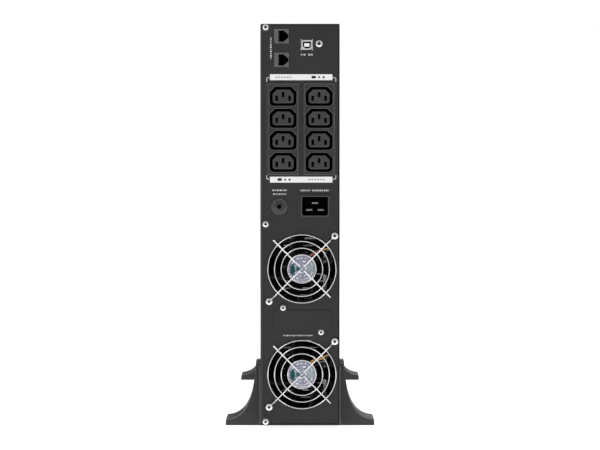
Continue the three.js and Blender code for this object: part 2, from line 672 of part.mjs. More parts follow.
add(unit, "front_bezel", frontBezel(), darkPlastic);
const display = place(unit, 0, 0, DIAL_Z);
add(display, "display_dial", displayDial(), blackPlastic);
const windowOutline = roundedRect(WINDOW.width - 2 * GAP, WINDOW.height - 2 * GAP, 1.8, 0, WINDOW.z);
add(display, "display_window", extrudeY(windowOutline, DIAL.face - WINDOW.thickness, DIAL.face, 2), glass);
for (const [side, x] of Object.entries(KEYS)) {
  const outline = roundedRect(KEY.width, KEY.height, 2.4, x, KEY.z);
  const key = extrudeY(outline, DIAL.face - KEY.body, TOTAL_DEPTH / 2, 2);
  add(display, `display_key_${side}`, key, greyPlastic);
}
const boardFace = DIAL.back - 6 - GAP;
add(display, "display_board", rodY(26, boardFace - 1.6, boardFace, 0, 0, 28), circuitBoard);

// ---- battery drawer: a folded steel tray and six sealed blocks ----
const BATTERY = { x: 65, y: 94, z: 151, spacing: 1, terminal: 1.8 };
const BATTERY_GRID = { rows: 3, columns: 2 };

// The tray's floor is on the right, because the drawer lies flat when the case lies on that side.
function batteryTray() {
  const wall = [-TRAY.x + 14, TRAY.x];
  const floor = block([TRAY.x - SHEET, TRAY.x], [TRAY.back, TRAY.front], [TRAY.low, TRAY.high]);
  const ends = [TRAY.low, TRAY.high - SHEET].map((z) => block(wall, [TRAY.back, TRAY.front], [z, z + SHEET]));
  const back = block(wall, [TRAY.back, TRAY.back + SHEET], [TRAY.low, TRAY.high]);
  const front = block([-TRAY.x, TRAY.x], [TRAY.front - SHEET, TRAY.front], [TRAY.low, TRAY.high]);
  const grip = slab(24, 34, TRAY.front - 3, TRAY.front + 3, 0, 167);
  const pull = block([14, 16], [TRAY.front - 0.5, TRAY.front + 4], [140, 194]);
  return join(cut(join(floor, ...ends, back, front), grip), pull);
}

// A block with its two terminals on the left; the origin is its corner at the tray's floor, back and base.
function battery() {
  const cell = block([-BATTERY.x, 0], [0, BATTERY.y], [0, BATTERY.z]);
  const terminals = [20, BATTERY.z - 20].map((z) =>
    block([-BATTERY.x - BATTERY.terminal, -BATTERY.x + 1], [6, 12], [z - 3, z + 3]),
  );
  return join(cell, ...terminals);
}

add(unit, "battery_tray", batteryTray(), zinc);
for (let i = 0; i < BATTERY_GRID.rows * BATTERY_GRID.columns; i++) {
  const row = Math.floor(i / BATTERY_GRID.columns);
  const column = i % BATTERY_GRID.columns;
  const spot = place(
    unit,
    TRAY.x - SHEET - GAP,
    TRAY.front - 2 - (row + 1) * (BATTERY.y + BATTERY.spacing),
    TRAY.low + 3 + column * (BATTERY.z + BATTERY.spacing),
  );
  add(spot, `battery_${i + 1}`, battery(), batteryCase);
}

// ---- electronics between the fans and the batteries ----
const BOARD_X = 34;
const HEATSINK = { length: 108, height: 68, base: 4, reach: 45, fin: 2, pitch: 8, fins: 9 };

// A comb of fins that points to -X; the origin is the middle of its base's back.
function heatsink() {
  const { length, height, base, reach, fin, pitch, fins } = HEATSINK;
  const comb = [slab(base, height, 0, length, -base / 2)];
  for (let i = 0; i < fins; i++) {
    const z = (i - (fins - 1) / 2) * pitch;
    comb.push(block([-base - reach, -base + 1], [0, length], [z - fin / 2, z + fin / 2]));
  }
  return join(...comb);
}

function transformer() {
  const core = block([-50, 0], [0, 36], [0, 62]);
  const winding = block([-46, -4], [-12, 48], [12, 50]);
  return join(core, winding);
}

add(unit, "main_board", block([BOARD_X, BOARD_X + 1.6], [-255, -60], [14, 425]), circuitBoard);
for (const [name, z] of Object.entries(FANS)) {
  add(place(unit, BOARD_X - 4, -238, z), `heatsink_${name}`, heatsink(), aluminium);
}
add(place(unit, BOARD_X - 4, -110, 290), "transformer", transformer(), batteryCase);
add(rear, "comms_board", slab(72, 44, 24, 25.6, 0, 408), circuitBoard);

export default part;
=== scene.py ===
"""A 2U uninterruptible power supply that stands upright on two plastic stands, with its rear towards -Y.

Shapes are drawn in millimetres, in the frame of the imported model.
Each piece is scaled to metres when it is made.
"""

import math
import random

import bmesh
import bpy
from mathutils import Matrix, Vector


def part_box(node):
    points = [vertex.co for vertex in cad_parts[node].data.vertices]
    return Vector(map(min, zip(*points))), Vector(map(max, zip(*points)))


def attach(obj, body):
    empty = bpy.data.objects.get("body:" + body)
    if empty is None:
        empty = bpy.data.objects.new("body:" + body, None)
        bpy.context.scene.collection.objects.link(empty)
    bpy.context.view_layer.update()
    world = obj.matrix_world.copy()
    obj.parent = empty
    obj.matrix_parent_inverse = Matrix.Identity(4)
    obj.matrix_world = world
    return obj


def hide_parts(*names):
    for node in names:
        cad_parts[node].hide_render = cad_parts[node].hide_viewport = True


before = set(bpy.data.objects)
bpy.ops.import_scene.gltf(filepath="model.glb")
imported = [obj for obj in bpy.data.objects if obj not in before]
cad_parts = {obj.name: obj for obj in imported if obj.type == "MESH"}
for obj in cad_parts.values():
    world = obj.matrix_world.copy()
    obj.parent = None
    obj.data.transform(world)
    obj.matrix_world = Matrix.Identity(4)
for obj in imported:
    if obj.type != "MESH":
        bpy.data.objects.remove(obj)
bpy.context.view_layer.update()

MM = 0.001
SEED = 11
rng = random.Random(SEED)
scene = bpy.context.scene


# ---- places
def box_mm(node):
    low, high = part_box(node)
    return low / MM, high / MM


def about(centre, reach):
    return centre - reach, centre + reach


def placed(node):
    """A node's two corners, and the X and Z of its middle."""
    low, high = box_mm(node)
    return low, high, (low.x + high.x) / 2, (low.z + high.z) / 2


def middle_mm(node):
    low, high = box_mm(node)
    return (low + high) / 2


FACE = box_mm("rear_panel")[0].y  # the rear panel's outer face
FLANGE = box_mm("outer_cover")[0].y  # the cover's rearmost face
CASE_LOW = box_mm("outer_cover")[0].z
CASE_HIGH = box_mm("outer_cover")[1].z
CASE_SIDE = box_mm("outer_cover")[1].x
STEEL_FRONT = box_mm("outer_cover")[1].y
FANS = ("upper", "lower")


# ---- outlines in X and Z, in millimetres
def arc(cx, cz, radius, start, end, steps):
    turns = [math.radians(start + (end - start) * i / steps) for i in range(steps + 1)]
    return [(cx + radius * math.cos(t), cz + radius * math.sin(t)) for t in turns]


def circle(cx, cz, radius, steps=48):
    return arc(cx, cz, radius, 0, 360 - 360 / steps, steps - 1)


def rounded(corners, radii, steps=5):
    """A polygon with each corner rounded by its own radius, or all by one."""
    made = []
    count = len(corners)
    for i, corner in enumerate(corners):
        radius = radii[i] if isinstance(radii, (list, tuple)) else radii
        here = Vector(corner)
        before = Vector(corners[i - 1]) - here
        after = Vector(corners[(i + 1) % count]) - here
        if radius <= 0:
            made.append(tuple(here))
            continue
        angle = before.angle(after)
        reach = min(radius / math.tan(angle / 2), 0.49 * before.length, 0.49 * after.length)
        enter = here + before.normalized() * reach
        leave = here + after.normalized() * reach
        for k in range(steps + 1):
            t = k / steps
            made.append(tuple(enter * (1 - t) ** 2 + here * 2 * t * (1 - t) + leave * t**2))
    return made


def rectangle(cx, cz, width, height, radius=0.0, steps=5):
    w, h = width / 2, height / 2
    corners = [(cx + w, cz - h), (cx + w, cz + h), (cx - w, cz + h), (cx - w, cz - h)]
    return rounded(corners, radius, steps)


def coupler(cx, cz, width, height, chamfer, radius, soft=0.7):
    """A three-pole coupler's outline: chamfered above, round below."""
    w, h = width / 2, height / 2
    corners = [(cx + w, cz - h), (cx + w, cz + h - chamfer), (cx + w - chamfer, cz + h),
        (cx - w + chamfer, cz + h), (cx - w, cz + h - chamfer), (cx - w, cz - h)]
    return rounded(corners, [radius, soft, soft, soft, soft, radius], 6)


def resized(outline, cx, cz, across, up):
    """An outline drawn larger or smaller about a point."""
    return [(cx + across * (x - cx), cz + up * (z - cz)) for x, z in outline]


def without_repeats(points):
    return [p for i, p in enumerate(points) if (Vector(p) - Vector(points[i - 1])).length > 0.01]


def cubic(a, b, c, d, steps):
    """Points on the curve from a to d that leaves towards b and arrives from c."""
    a, b, c, d = (Vector(point) for point in (a, b, c, d))
    made = []
    for k in range(steps + 1):
        t = k / steps
        made.append(tuple(a * (1 - t) ** 3 + b * 3 * t * (1 - t) ** 2 + c * 3 * t**2 * (1 - t) + d * t**3))
    return made


# ---- solids, in millimetres
# Lays an outline's X and Y along X and Z, and its depth along -Y.
ALONG_Y = Matrix.Rotation(math.pi / 2, 4, "X")
ALONG_Z = Matrix.Identity(4)


def prism(bm, loops, start, end, bevel=0.0, steps=2, turn=ALONG_Y):
    """A flat shape with holes, from start to end along Y (or Z), with rounded edges all round."""
    curve = bpy.data.curves.new("outline", "CURVE")
    curve.dimensions = "2D"
    curve.fill_mode = "BOTH"
    for loop in loops:
        spline = curve.splines.new("POLY")
        spline.points.add(len(loop) - 1)
        for point, (x, z) in zip(spline.points, loop):
            point.co = (x, z, 0, 1)
        spline.use_cyclic_u = True
    curve.extrude = (end - start) / 2 - bevel
    curve.bevel_depth = bevel
    curve.bevel_resolution = steps
    curve.offset = -bevel
    holder = bpy.data.objects.new("outline", curve)
    scene.collection.objects.link(holder)
    mesh = bpy.data.meshes.new_from_object(holder.evaluated_get(bpy.context.evaluated_depsgraph_get()))
    bpy.data.objects.remove(holder)
    bpy.data.curves.remove(curve)
    middle = (start + end) / 2
    offset = Vector((0, middle, 0)) if turn is ALONG_Y else Vector((0, 0, middle))
    mesh.transform(Matrix.Translation(offset) @ turn)
    one = bmesh.new()
    one.from_mesh(mesh)
    bmesh.ops.remove_doubles(one, verts=one.verts, dist=0.002)
    bmesh.ops.recalc_face_normals(one, faces=one.faces)
    one.to_mesh(mesh)
    one.free()
    bm.from_mesh(mesh)
    bpy.data.meshes.remove(mesh)
    return bm


def skin(bm, rings, closed):
    """Faces between each ring of vertices and the next. A ring of one vertex is a tip."""
    pairs = list(zip(rings, rings[1:]))
    if closed:
        pairs.append((rings[-1], rings[0]))
    made = []
    for a, b in pairs:
        for i in range(max(len(a), len(b))):
            k = i + 1
            around = (a[i % len(a)], b[i % len(b)], b[k % len(b)], a[k % len(a)])
            corners = tuple(dict.fromkeys(around))
            if len(corners) > 2:
                made.append(bm.faces.new(corners))
    return made


def lathe(bm, profile, centre, segments=48, closed=False):
    """Turns (radius, y) points round an axis along Y at centre (x, z). A closed profile makes a ring."""
    cx, cz = centre
    rings = []
    for radius, y in profile:
        count = segments if radius > 1e-6 else 1
        turns = [2 * math.pi * i / segments for i in range(count)]
        around = [(cx + radius * math.cos(t), y, cz + radius * math.sin(t)) for t in turns]
        rings.append([bm.verts.new(point) for point in around])
    bmesh.ops.recalc_face_normals(bm, faces=skin(bm, rings, closed))
    return bm


def tube(bm, path, radius, sides=12, closed=False):
    """A round wire along a path of (x, y, z) points, with rounded ends unless it is closed."""
    points = [Vector(p) for p in path]
    count = len(points)
    tangents = []
    for i in range(count):
        if closed:
            ahead, behind = points[(i + 1) % count], points[i - 1]
        else:
            ahead, behind = points[min(i + 1, count - 1)], points[max(i - 1, 0)]
        tangents.append((ahead - behind).normalized())
    normal = tangents[0].orthogonal().normalized()
    sections = []

    def section(centre, across, up, size):
        turns = [2 * math.pi * k / sides for k in range(sides)]
        return [bm.verts.new(centre + (across * math.cos(t) + up * math.sin(t)) * size) for t in turns]

    for i, (point, tangent) in enumerate(zip(points, tangents)):
        normal = (normal - tangent * normal.dot(tangent)).normalized()
        up = tangent.cross(normal)
        rings = [(0, 1)]
        if i == 0 and not closed:
            rings = [(-0.55, 0.45), (-0.35, 0.85), *rings]
        if i == count - 1 and not closed:
            rings += [(0.35, 0.85), (0.55, 0.45)]
        for along, width in rings:
            sections.append(section(point + tangent * radius * along, normal, up, radius * width))
    made = skin(bm, sections, closed)
    if not closed:
        made += [bm.faces.new(sections[0]), bm.faces.new(sections[-1])]
    bmesh.ops.recalc_face_normals(bm, faces=made)
    return bm


def brick(bm, xs, ys, zs, bevel=0.2, steps=2):
    """A block between its limits on each axis, with rounded edges."""
    one = bmesh.new()
    bmesh.ops.create_cube(one, size=1)
    size = Vector((xs[1] - xs[0], ys[1] - ys[0], zs[1] - zs[0]))
    centre = Vector((sum(xs) / 2, sum(ys) / 2, sum(zs) / 2))
    bmesh.ops.scale(one, vec=size, verts=one.verts)
    if bevel > 0:
        edge = min(bevel, 0.45 * min(size))
        bmesh.ops.bevel(one, geom=list(one.edges), offset=edge, segments=steps, profile=0.5, affect="EDGES")
    bmesh.ops.translate(one, vec=centre, verts=one.verts)
    mesh = bpy.data.meshes.new("brick")
    one.to_mesh(mesh)
    one.free()
    bm.from_mesh(mesh)
    bpy.data.meshes.remove(mesh)
    return bm


def sheet(bm, grid, thickness):
    """A curved sheet of even thickness from a grid of points."""
    rows, columns = len(grid), len(grid[0])
    points = [[Vector(p) for p in row] for row in grid]

    def normal(i, k):
        along = points[min(i + 1, rows - 1)][k] - points[max(i - 1, 0)][k]
        across = points[i][min(k + 1, columns - 1)] - points[i][max(k - 1, 0)]
        return along.cross(across).normalized()

    def offset(i, k, side):
        thin = 0.35 + 0.65 * math.sin(math.pi * (k + 0.5) / columns)  # thinner towards its edges
        return points[i][k] + normal(i, k) * side * thickness * thin / 2

    top = [[bm.verts.new(offset(i, k, 1)) for k in range(columns)] for i in range(rows)]
    low = [[bm.verts.new(offset(i, k, -1)) for k in range(columns)] for i in range(rows)]
    made = []
    for i in range(rows - 1):
        for k in range(columns - 1):
            made.append(bm.faces.new((top[i][k], top[i + 1][k], top[i + 1][k + 1], top[i][k + 1])))
            made.append(bm.faces.new((low[i][k], low[i][k + 1], low[i + 1][k + 1], low[i + 1][k])))
    for i in range(rows - 1):
        for k in (0, columns - 1):
            made.append(bm.faces.new((top[i][k], low[i][k], low[i + 1][k], top[i + 1][k])))
    for k in range(columns - 1):
        for i in (0, rows - 1):
            made.append(bm.faces.new((top[i][k], low[i][k], low[i][k + 1], top[i][k + 1])))
    bmesh.ops.recalc_face_normals(bm, faces=made)


def carved(bm, cutter):
    """The first solid less the second."""
    holders = []
    for source in (bm, cutter):
        mesh = bpy.data.meshes.new("solid")
        source.to_mesh(mesh)
        source.free()
        holder = bpy.data.objects.new("solid", mesh)
        scene.collection.objects.link(holder)
        holders.append(holder)
    body, tool = holders
    change = body.modifiers.new("cut", "BOOLEAN")
    change.operation = "DIFFERENCE"
    change.solver = "EXACT"
    change.object = tool
    mesh = bpy.data.meshes.new_from_object(body.evaluated_get(bpy.context.evaluated_depsgraph_get()))
    made = bmesh.new()
    made.from_mesh(mesh)
    for holder in holders:
        bpy.data.objects.remove(holder)
    bpy.data.meshes.remove(mesh)
    bmesh.ops.remove_doubles(made, verts=made.verts, dist=0.001)
    bmesh.ops.dissolve_degenerate(made, edges=made.edges, dist=0.001)
    return made


# ---- finishes
class Finish:
    """A procedural material under construction. Its patterns are sized in metres."""

    def __init__(self, name, **values):
        self.material = bpy.data.materials.new(name)
        self.material.use_nodes = True
        self.nodes = self.material.node_tree.nodes
        self.links = self.material.node_tree.links
        self.surface = next(n for n in self.nodes if n.type == "BSDF_PRINCIPLED")
        self.place = self.node("TexCoord", {}).outputs["Object"]
        self.normal = None
        self.fill(self.surface, {key.replace("_", " "): value for key, value in values.items()})

    def fill(self, node, inputs):
        """Links each input to its socket, or sets it to its plain value."""
        for key, source in inputs.items():
            if isinstance(source, bpy.types.NodeSocket):
                self.links.new(source, node.inputs[key])
            else:
                node.inputs[key].default_value = source
        return node

    def node(self, kind, inputs, **settings):
        made = self.nodes.new(f"ShaderNode{kind}")
        for key, value in settings.items():
            setattr(made, key, value)
        return self.fill(made, inputs)

    def look(self, colour, roughness):
        self.fill(self.surface, {"Base Color": colour, "Roughness": roughness})
        return self

    def stretched(self, *scale):
        """The surface's coordinates, drawn out along some axes."""
        return self.node("Mapping", {"Vector": self.place, "Scale": scale}).outputs["Vector"]

    def noise(self, scale, detail=2.0, roughness=0.5, vector=None):
        inputs = {"Vector": vector or self.place, "Scale": scale, "Detail": detail, "Roughness": roughness}
        return self.node("TexNoise", inputs).outputs["Fac"]

    def cells(self, scale, feature="F1", vector=None):
        inputs = {"Vector": vector or self.place, "Scale": scale}
        return self.node("TexVoronoi", inputs, feature=feature).outputs["Distance"]

    def ramp(self, value, stops):
        node = self.node("ValToRGB", {"Fac": value})
        elements = node.color_ramp.elements
        while len(elements) < len(stops):
            elements.new(0.5)
        for element, (position, colour) in zip(elements, stops):
            element.position = position
            element.color = (*colour, 1)
        return node.outputs["Color"]

    def spread(self, value, low, high, start=0.3, end=0.7):
        limits = {"From Min": start, "From Max": end, "To Min": low, "To Max": high}
        return self.node("MapRange", {"Value": value, **limits}).outputs["Result"]

    def blend(self, factor, a, b):
        """Mixes colours a and b, either of which may be a socket or a plain colour."""
        first, second = (c if isinstance(c, bpy.types.NodeSocket) else (*c, 1) for c in (a, b))
        return self.node("Mix", {0: factor, 6: first, 7: second}, data_type="RGBA").outputs[2]

    def math(self, kind, a, b=0.0):
        return self.node("Math", {0: a, 1: b}, operation=kind).outputs[0]

    def times(self, a, b):
        return self.math("MULTIPLY", a, b)

    def plus(self, a, b):
        return self.math("ADD", a, b)

    def bump(self, height, strength, distance):
        inputs = {"Height": height, "Strength": strength, "Distance": distance}
        if self.normal is not None:
            inputs["Normal"] = self.normal
        self.normal = self.node("Bump", inputs).outputs["Normal"]
        self.fill(self.surface, {"Normal": self.normal})
        return self


def grey(value):
    return (value, value, value)


def scaled(colour, factor):
    return tuple(min(1.0, c * factor) for c in colour)


def textured(name, colour, rough, grain, bump, spec=0.5):
    """A moulded or coated surface: a fine grain, faint patches of colour, and patches of gloss."""
    made = Finish(name, Specular_IOR_Level=spec)
    patches = made.noise(14, 3, 0.6)
    both = made.times(made.plus(made.noise(grain * 0.7, 2, 0.6), patches), 0.5)
    tones = made.ramp(both, [(0.3, scaled(colour, 0.84)), (0.7, scaled(colour, 1.16))])
    made.look(tones, made.spread(patches, rough - 0.05, rough + 0.05))
    return made.bump(made.noise(grain, 2, 0.55), bump, 0.0002)


def powder(name, colour, rough=0.52):
    made = textured(name, colour, rough, 2400, 0.3, spec=0.45)
    return made.bump(made.noise(420, 3, 0.5), 0.12, 0.0004).material


def plastic(name, colour, rough=0.45, grain=3200, bump=0.18, spec=0.45):
    return textured(name, colour, rough, grain, bump, spec).material


def metal(name, colour, rough, brushed=(1, 1, 1), grain=900, variation=0.08):
    made = Finish(name, Metallic=1.0)
    streaks = made.noise(grain, 4, 0.6, made.stretched(*brushed))
    tones = made.ramp(streaks, [(0.25, scaled(colour, 1 - variation)), (0.75, colour)])
    made.look(tones, made.spread(made.noise(60, 3, 0.55), max(0.03, rough - 0.06), rough + 0.08))
    return made.bump(streaks, 0.06, 0.0001).material


def coated(name, colours, rough, noises, bump, **values):
    """A smooth surface whose colour, gloss and height each follow a noise of their own."""
    made = Finish(name, **values)
    colour, gloss, height = (made.noise(*noise) for noise in noises)
    made.look(made.ramp(colour, colours), made.spread(gloss, *rough))
    return made.bump(height, *bump).material


def ink(name, colour):
    tones = [(0.2, scaled(colour, 0.72)), (0.7, colour)]
    noises = [(2600, 3, 0.7), (500, 2), (2400, 2)]
    return coated(name, tones, (0.5, 0.65), noises, (0.1, 0.0001), Specular_IOR_Level=0.3)


def wire(name, colour):
    tones = [(0.3, scaled(colour, 0.8)), (0.7, colour)]
    noises = [(700, 2), (300, 2), (2600, 2)]
    return coated(name, tones, (0.3, 0.42), noises, (0.1, 0.0001), Coat_Weight=0.15)


POWDER = powder("powder_coat", grey(0.0135))
# The flange's lighter grey is painted light: it is part of the same powder-coated cover, drawn lighter as
# if more light falls on it.
POWDER_FLANGE_LIT = powder("powder_coat_flange_painted_light", grey(0.03))
POWDER_PLATE = powder("powder_coat_plate", grey(0.0125), 0.5)
DARK = plastic("dark_plastic", grey(0.019), 0.42)
TONGUE_DARK = plastic("dark_plastic_tongue", grey(0.04), 0.3)
STAND_DARK = plastic("stand_plastic", grey(0.029), 0.46, 1800, 0.3, 0.45)
# This black also serves as painted shade in the screw recesses and inside the USB socket.
BLACK_AND_SHADE = plastic("black_plastic", grey(0.006), 0.5, spec=0.25)
# A near-black painted shade for the insides of the sockets, the inlet and the breaker button.
PAINTED_SHADE = plastic("painted_shade_inside", grey(0.002), 0.8, spec=0.05)
# A lighter grey for painted highlights along the outlet banks' edges and recess mouths.
BANK_EDGE_HIGHLIGHT = plastic("bank_edge_highlight", grey(0.095), 0.36)
FAN_DARK = plastic("fan_plastic", grey(0.008), 0.6, spec=0.1)
# A lighter grey for painted highlights along the stands' edges.
STAND_EDGE_HIGHLIGHT = plastic("stand_edge_highlight", grey(0.19), 0.42, 1800, 0.2)
# Glossy grey plastic for the breaker's collar and button; on the inlet's rim it is a painted highlight.
COLLAR_AND_RIM_HIGHLIGHT = plastic("collar_plastic_and_rim_highlight", grey(0.055), 0.25, spec=0.8)
FILTER = plastic("dust_filter", grey(0.008), 0.9, 700, 0.9, 0.05)
GREY = plastic("grey_plastic", grey(0.1), 0.45)
WHITE = plastic("white_plastic", grey(0.86), 0.4)
CHROME = metal("chrome", (0.72, 0.72, 0.74), 0.16, (1, 1, 1), 700, 0.08)
ZINC = metal("zinc", (0.94, 0.94, 0.95), 0.32, (1, 1, 1), 1500, 0.14)
NICKEL = metal("nickel", (0.96, 0.96, 0.97), 0.3, (1, 1, 1), 1500, 0.06)
STEEL = metal("galvanised_steel", (0.5, 0.51, 0.52), 0.38, (1, 0.2, 1), 260, 0.22)
TIN = metal("plated_contact", (0.26, 0.26, 0.26), 0.35, (1, 0.15, 1), 1800, 0.15)
# Contacts darkened as painted shade, deep in the socket slots.
CONTACT_SHADE = metal("contact_painted_shade", (0.1, 0.09, 0.07), 0.5, (1, 0.15, 1), 1800, 0.2)
BRASS = metal("brass", (0.72, 0.53, 0.26), 0.3, (1, 0.2, 1), 1500, 0.12)
ALUMINIUM = metal("aluminium", (0.62, 0.63, 0.65), 0.34, (0.08, 1, 1), 900, 0.14)
COPPER = metal("copper", (0.7, 0.34, 0.2), 0.35, (1, 0.1, 1), 1200, 0.2)


LABEL = coated(
    "white_label",
    [(0.3, grey(0.79)), (0.7, grey(0.85))],
    (0.4, 0.55),
    [(900, 3, 0.6), (120, 2), (1400, 2)],
    (0.08, 0.0001),
    Specular_IOR_Level=0.4,
)
WHITE_INK = ink("white_ink", grey(0.6))
BRIGHT_INK = ink("bright_ink", grey(0.72))
LINE_INK = ink("line_ink", grey(0.085))
GREY_INK = ink("grey_ink", grey(0.2))
BLACK_INK = ink("black_ink", grey(0.012))
WIRES = {"red": wire("red_wire", (0.58, 0.11, 0.1)), "yellow": wire("yellow_wire", (0.64, 0.36, 0.09)),
    "black": wire("black_wire", (0.02, 0.02, 0.022))}


RING_PITCH = 3.6  # of the sticker's faint rings, in millimetres


def sticker():
    """A silver sticker with faint violet, green and teal patches, which are painted sheen: the colours a
    security sticker's foil breaks light into.
    """
    made = Finish("hub_sticker", Metallic=0.55, Specular_IOR_Level=0.6)
    flecks = made.cells(520)
    cloud = made.noise(330, 5, 0.75)
    split = made.node("SeparateXYZ", {"Vector": made.place})
    across, up = split.outputs["X"], split.outputs["Z"]

    def away(x, z, width, height):
        """The distance from (x, z) in an oval's own radii."""
        dx = made.math("DIVIDE", made.math("SUBTRACT", across, x * MM), width * MM)
        dz = made.math("DIVIDE", made.math("SUBTRACT", up, z * MM), height * MM)
        return made.math("SQRT", made.plus(made.math("POWER", dx, 2), made.math("POWER", dz, 2)))

    def patch(x, z, width, height, soft):
        """1 inside a ragged oval round (x, z), fading out over soft."""
        ragged = made.plus(away(x, z, width, height),
            made.times(made.noise(260, 4, 0.7), 1.1))
        return made.spread(ragged, 1.0, 0.0, 1.55 - soft, 1.55 + soft)

    turns = made.times(away(0, 0, 1, 1), 2 * math.pi / RING_PITCH)
    rings = made.times(made.math("SINE", turns), 0.075)
    # The violet tones here and the green and teal ovals below are painted sheen.
    silver = made.ramp(made.plus(cloud, rings), [(0.34, (0.07, 0.07, 0.11)),
        (0.45, (0.36, 0.38, 0.46)), (0.53, (0.2, 0.18, 0.3)), (0.63, (0.92, 0.95, 0.97))])
    base = made.blend(made.times(patch(9, 0, 4, 7, 0.4), 0.55), silver, (0.3, 0.42, 0.37))
    base = made.blend(patch(-4.4, 0, 1.7, 2.6, 0.2), base, (0.01, 0.11, 0.1))
    base = made.blend(patch(-10, -0.8, 2.7, 6, 0.15), base, (0.0, 0.06, 0.068))
    rim = made.spread(away(0, 1.2, 1, 1), 0.0, 0.85, 14.2, 15.6)
    base = made.blend(rim, base, (0.9, 0.92, 0.94))
    made.look(base, made.spread(cloud, 0.22, 0.42))
    return made.bump(flecks, 0.35, 0.0002).material


def circuit():
    made = Finish("circuit_board", Coat_Weight=0.3)
    seams = made.cells(160, "DISTANCE_TO_EDGE", made.stretched(1, 1, 0.35))
    tracks = made.math("LESS_THAN", seams, 0.05)
    tones = made.ramp(made.noise(40, 3), [(0.3, (0.012, 0.075, 0.03)), (0.7, (0.02, 0.12, 0.05))])
    made.look(made.blend(tracks, tones, (0.05, 0.2, 0.09)), made.spread(made.noise(300, 2), 0.3, 0.42))
    return made.bump(tracks, 0.2, 0.0002).material


def glow():
    made = Finish("display_segments", Emission_Strength=1.1)
    tones = made.ramp(made.noise(300, 2), [(0.3, (0.1, 0.42, 0.75)), (0.7, (0.16, 0.55, 0.9))])
    made.fill(made.surface, {"Emission Color": tones})
    return made.look(tones, made.spread(made.noise(200, 2), 0.3, 0.4)).material


GLASS = coated(
    "display_glass",
    [(0.3, (0.004, 0.007, 0.016)), (0.7, (0.007, 0.012, 0.024))],
    (0.05, 0.1),
    [(30, 2), (90, 3), (120, 1)],
    (0.02, 0.0002),
    Specular_IOR_Level=0.6,
    Coat_Weight=0.6,
)
STICKER = sticker()
CIRCUIT = circuit()
GLOW = glow()
BATTERY = plastic("battery_case", grey(0.014), 0.55, 1500, 0.4)
BATTERY_LID = plastic("battery_lid", grey(0.05), 0.5, 1500, 0.3)


# ---- pieces
def piece(name, bm, finish, replaces=(), body="chassis", crease=32, origin=None):
    """Turns a solid drawn in millimetres into a piece that rides a body."""
    mesh = bpy.data.meshes.new(name)
    bm.to_mesh(mesh)
    bm.free()
    mesh.transform(Matrix.Scale(MM, 4))
    made = bpy.data.objects.new(name, mesh)
    if origin is not None:
        mesh.transform(Matrix.Translation(-origin * MM))
        made.location = origin * MM
    mesh.materials.append(finish)
    for face in mesh.polygons:
        face.use_smooth = True
    mesh.set_sharp_from_angle(angle=math.radians(crease))
    # Wide flat faces stay evenly lit beside their rounded edges.
    even = made.modifiers.new("even_shading", "WEIGHTED_NORMAL")
    even.weight = 100
    even.keep_sharp = True
    scene.collection.objects.link(made)
    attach(made, body)
    if replaces:
        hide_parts(*replaces)
    return made


def refined(node, finish, body="chassis", bevel=0.3):
    """The CAD solid with its flat faces made whole and its edges rounded."""
    bm = bmesh.new()
    bm.from_mesh(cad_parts[node].data)
    bm.transform(Matrix.Scale(1 / MM, 4))
    bmesh.ops.remove_doubles(bm, verts=bm.verts, dist=0.002)
    bmesh.ops.dissolve_limit(bm, angle_limit=math.radians(1), verts=bm.verts, edges=bm.edges)
    made = piece(f"{node}_refined", bm, finish, [node], body)
    made.modifiers.clear()
    edges = made.modifiers.new("edges", "BEVEL")
    edges.width = bevel * MM
    edges.segments = 2
    edges.limit_method = "ANGLE"
    edges.angle_limit = math.radians(35)
    edges.harden_normals = False
    return made


# ---- case
SHEET = 1.0
SCREW_HOLE = 2.1
FOLD = 2.2
TAB_RADIUS = 5.5
TAB_FLANGE = 2.8
COVER_SCREWS = ("top", "middle", "bottom")
VENTS = [152 - 10 * i for i in range(9)]  # the Y of each cooling slot in the cover's top and underside
FOOT_HOLES = [(x, y) for x in (-24, 24) for y in (222, 246)]


def cover_wrap():
    low, high, side = CASE_LOW, CASE_HIGH, CASE_SIDE
    corners = [(side, low), (side, low + SHEET), (-side + SHEET, low + SHEET),
        (-side + SHEET, high - SHEET), (side, high - SHEET), (side, high), (-side, high), (-side, low)]
    radii = [0.2, 0.2, FOLD - SHEET, FOLD - SHEET, 0.2, 0.2, FOLD, FOLD]
    bm = prism(bmesh.new(), [rounded(corners, radii, 8)], FLANGE, STEEL_FRONT, 0.2)
    cutter = bmesh.new()
    for z in (low, high):
        for y in VENTS:
            prism(cutter, [rectangle(0, y, 50, 4, 1.9)], *about(z, 3), turn=ALONG_Z)
        for x, y in FOOT_HOLES:
            prism(cutter, [circle(x, y, 2, 24)], *about(z, 3), turn=ALONG_Z)
    return carved(bm, cutter)


def cover_flange():
    """The narrow strip down the left of the rear, with a round tab at each screw."""
    low, high, left = CASE_LOW + 0.05, CASE_HIGH - 0.05, -CASE_SIDE + 0.05
    edge = -CASE_SIDE + TAB_FLANGE
    points = arc(left + FOLD, low + FOLD, FOLD, 180, 270, 6)
    holes = []
    for name in reversed(COVER_SCREWS):
        spot = middle_mm(f"cover_screw_{name}")
        if name != "bottom":
            points.append((edge, spot.z - TAB_RADIUS))
        points += arc(spot.x, spot.z, TAB_RADIUS, -90, 90, 24)
        if name != "top":
            points.append((edge, spot.z + TAB_RADIUS))
        holes.append(circle(spot.x, spot.z, SCREW_HOLE, 20))
    points = [(x, max(low, min(high, z))) for x, z in points]
    points += arc(left + FOLD, high - FOLD, FOLD, 90, 180, 6)
    return prism(bmesh.new(), [without_repeats(points), *holes], FLANGE, FLANGE + SHEET, 0.16)


piece("cover_sheet", cover_wrap(), POWDER, ["outer_cover"])
# The flange's lighter finish is painted light.
piece("cover_flange", cover_flange(), POWDER_FLANGE_LIT)
refined("chassis_base", POWDER, bevel=0.25)
refined("front_bulkhead", STEEL, bevel=0.2)

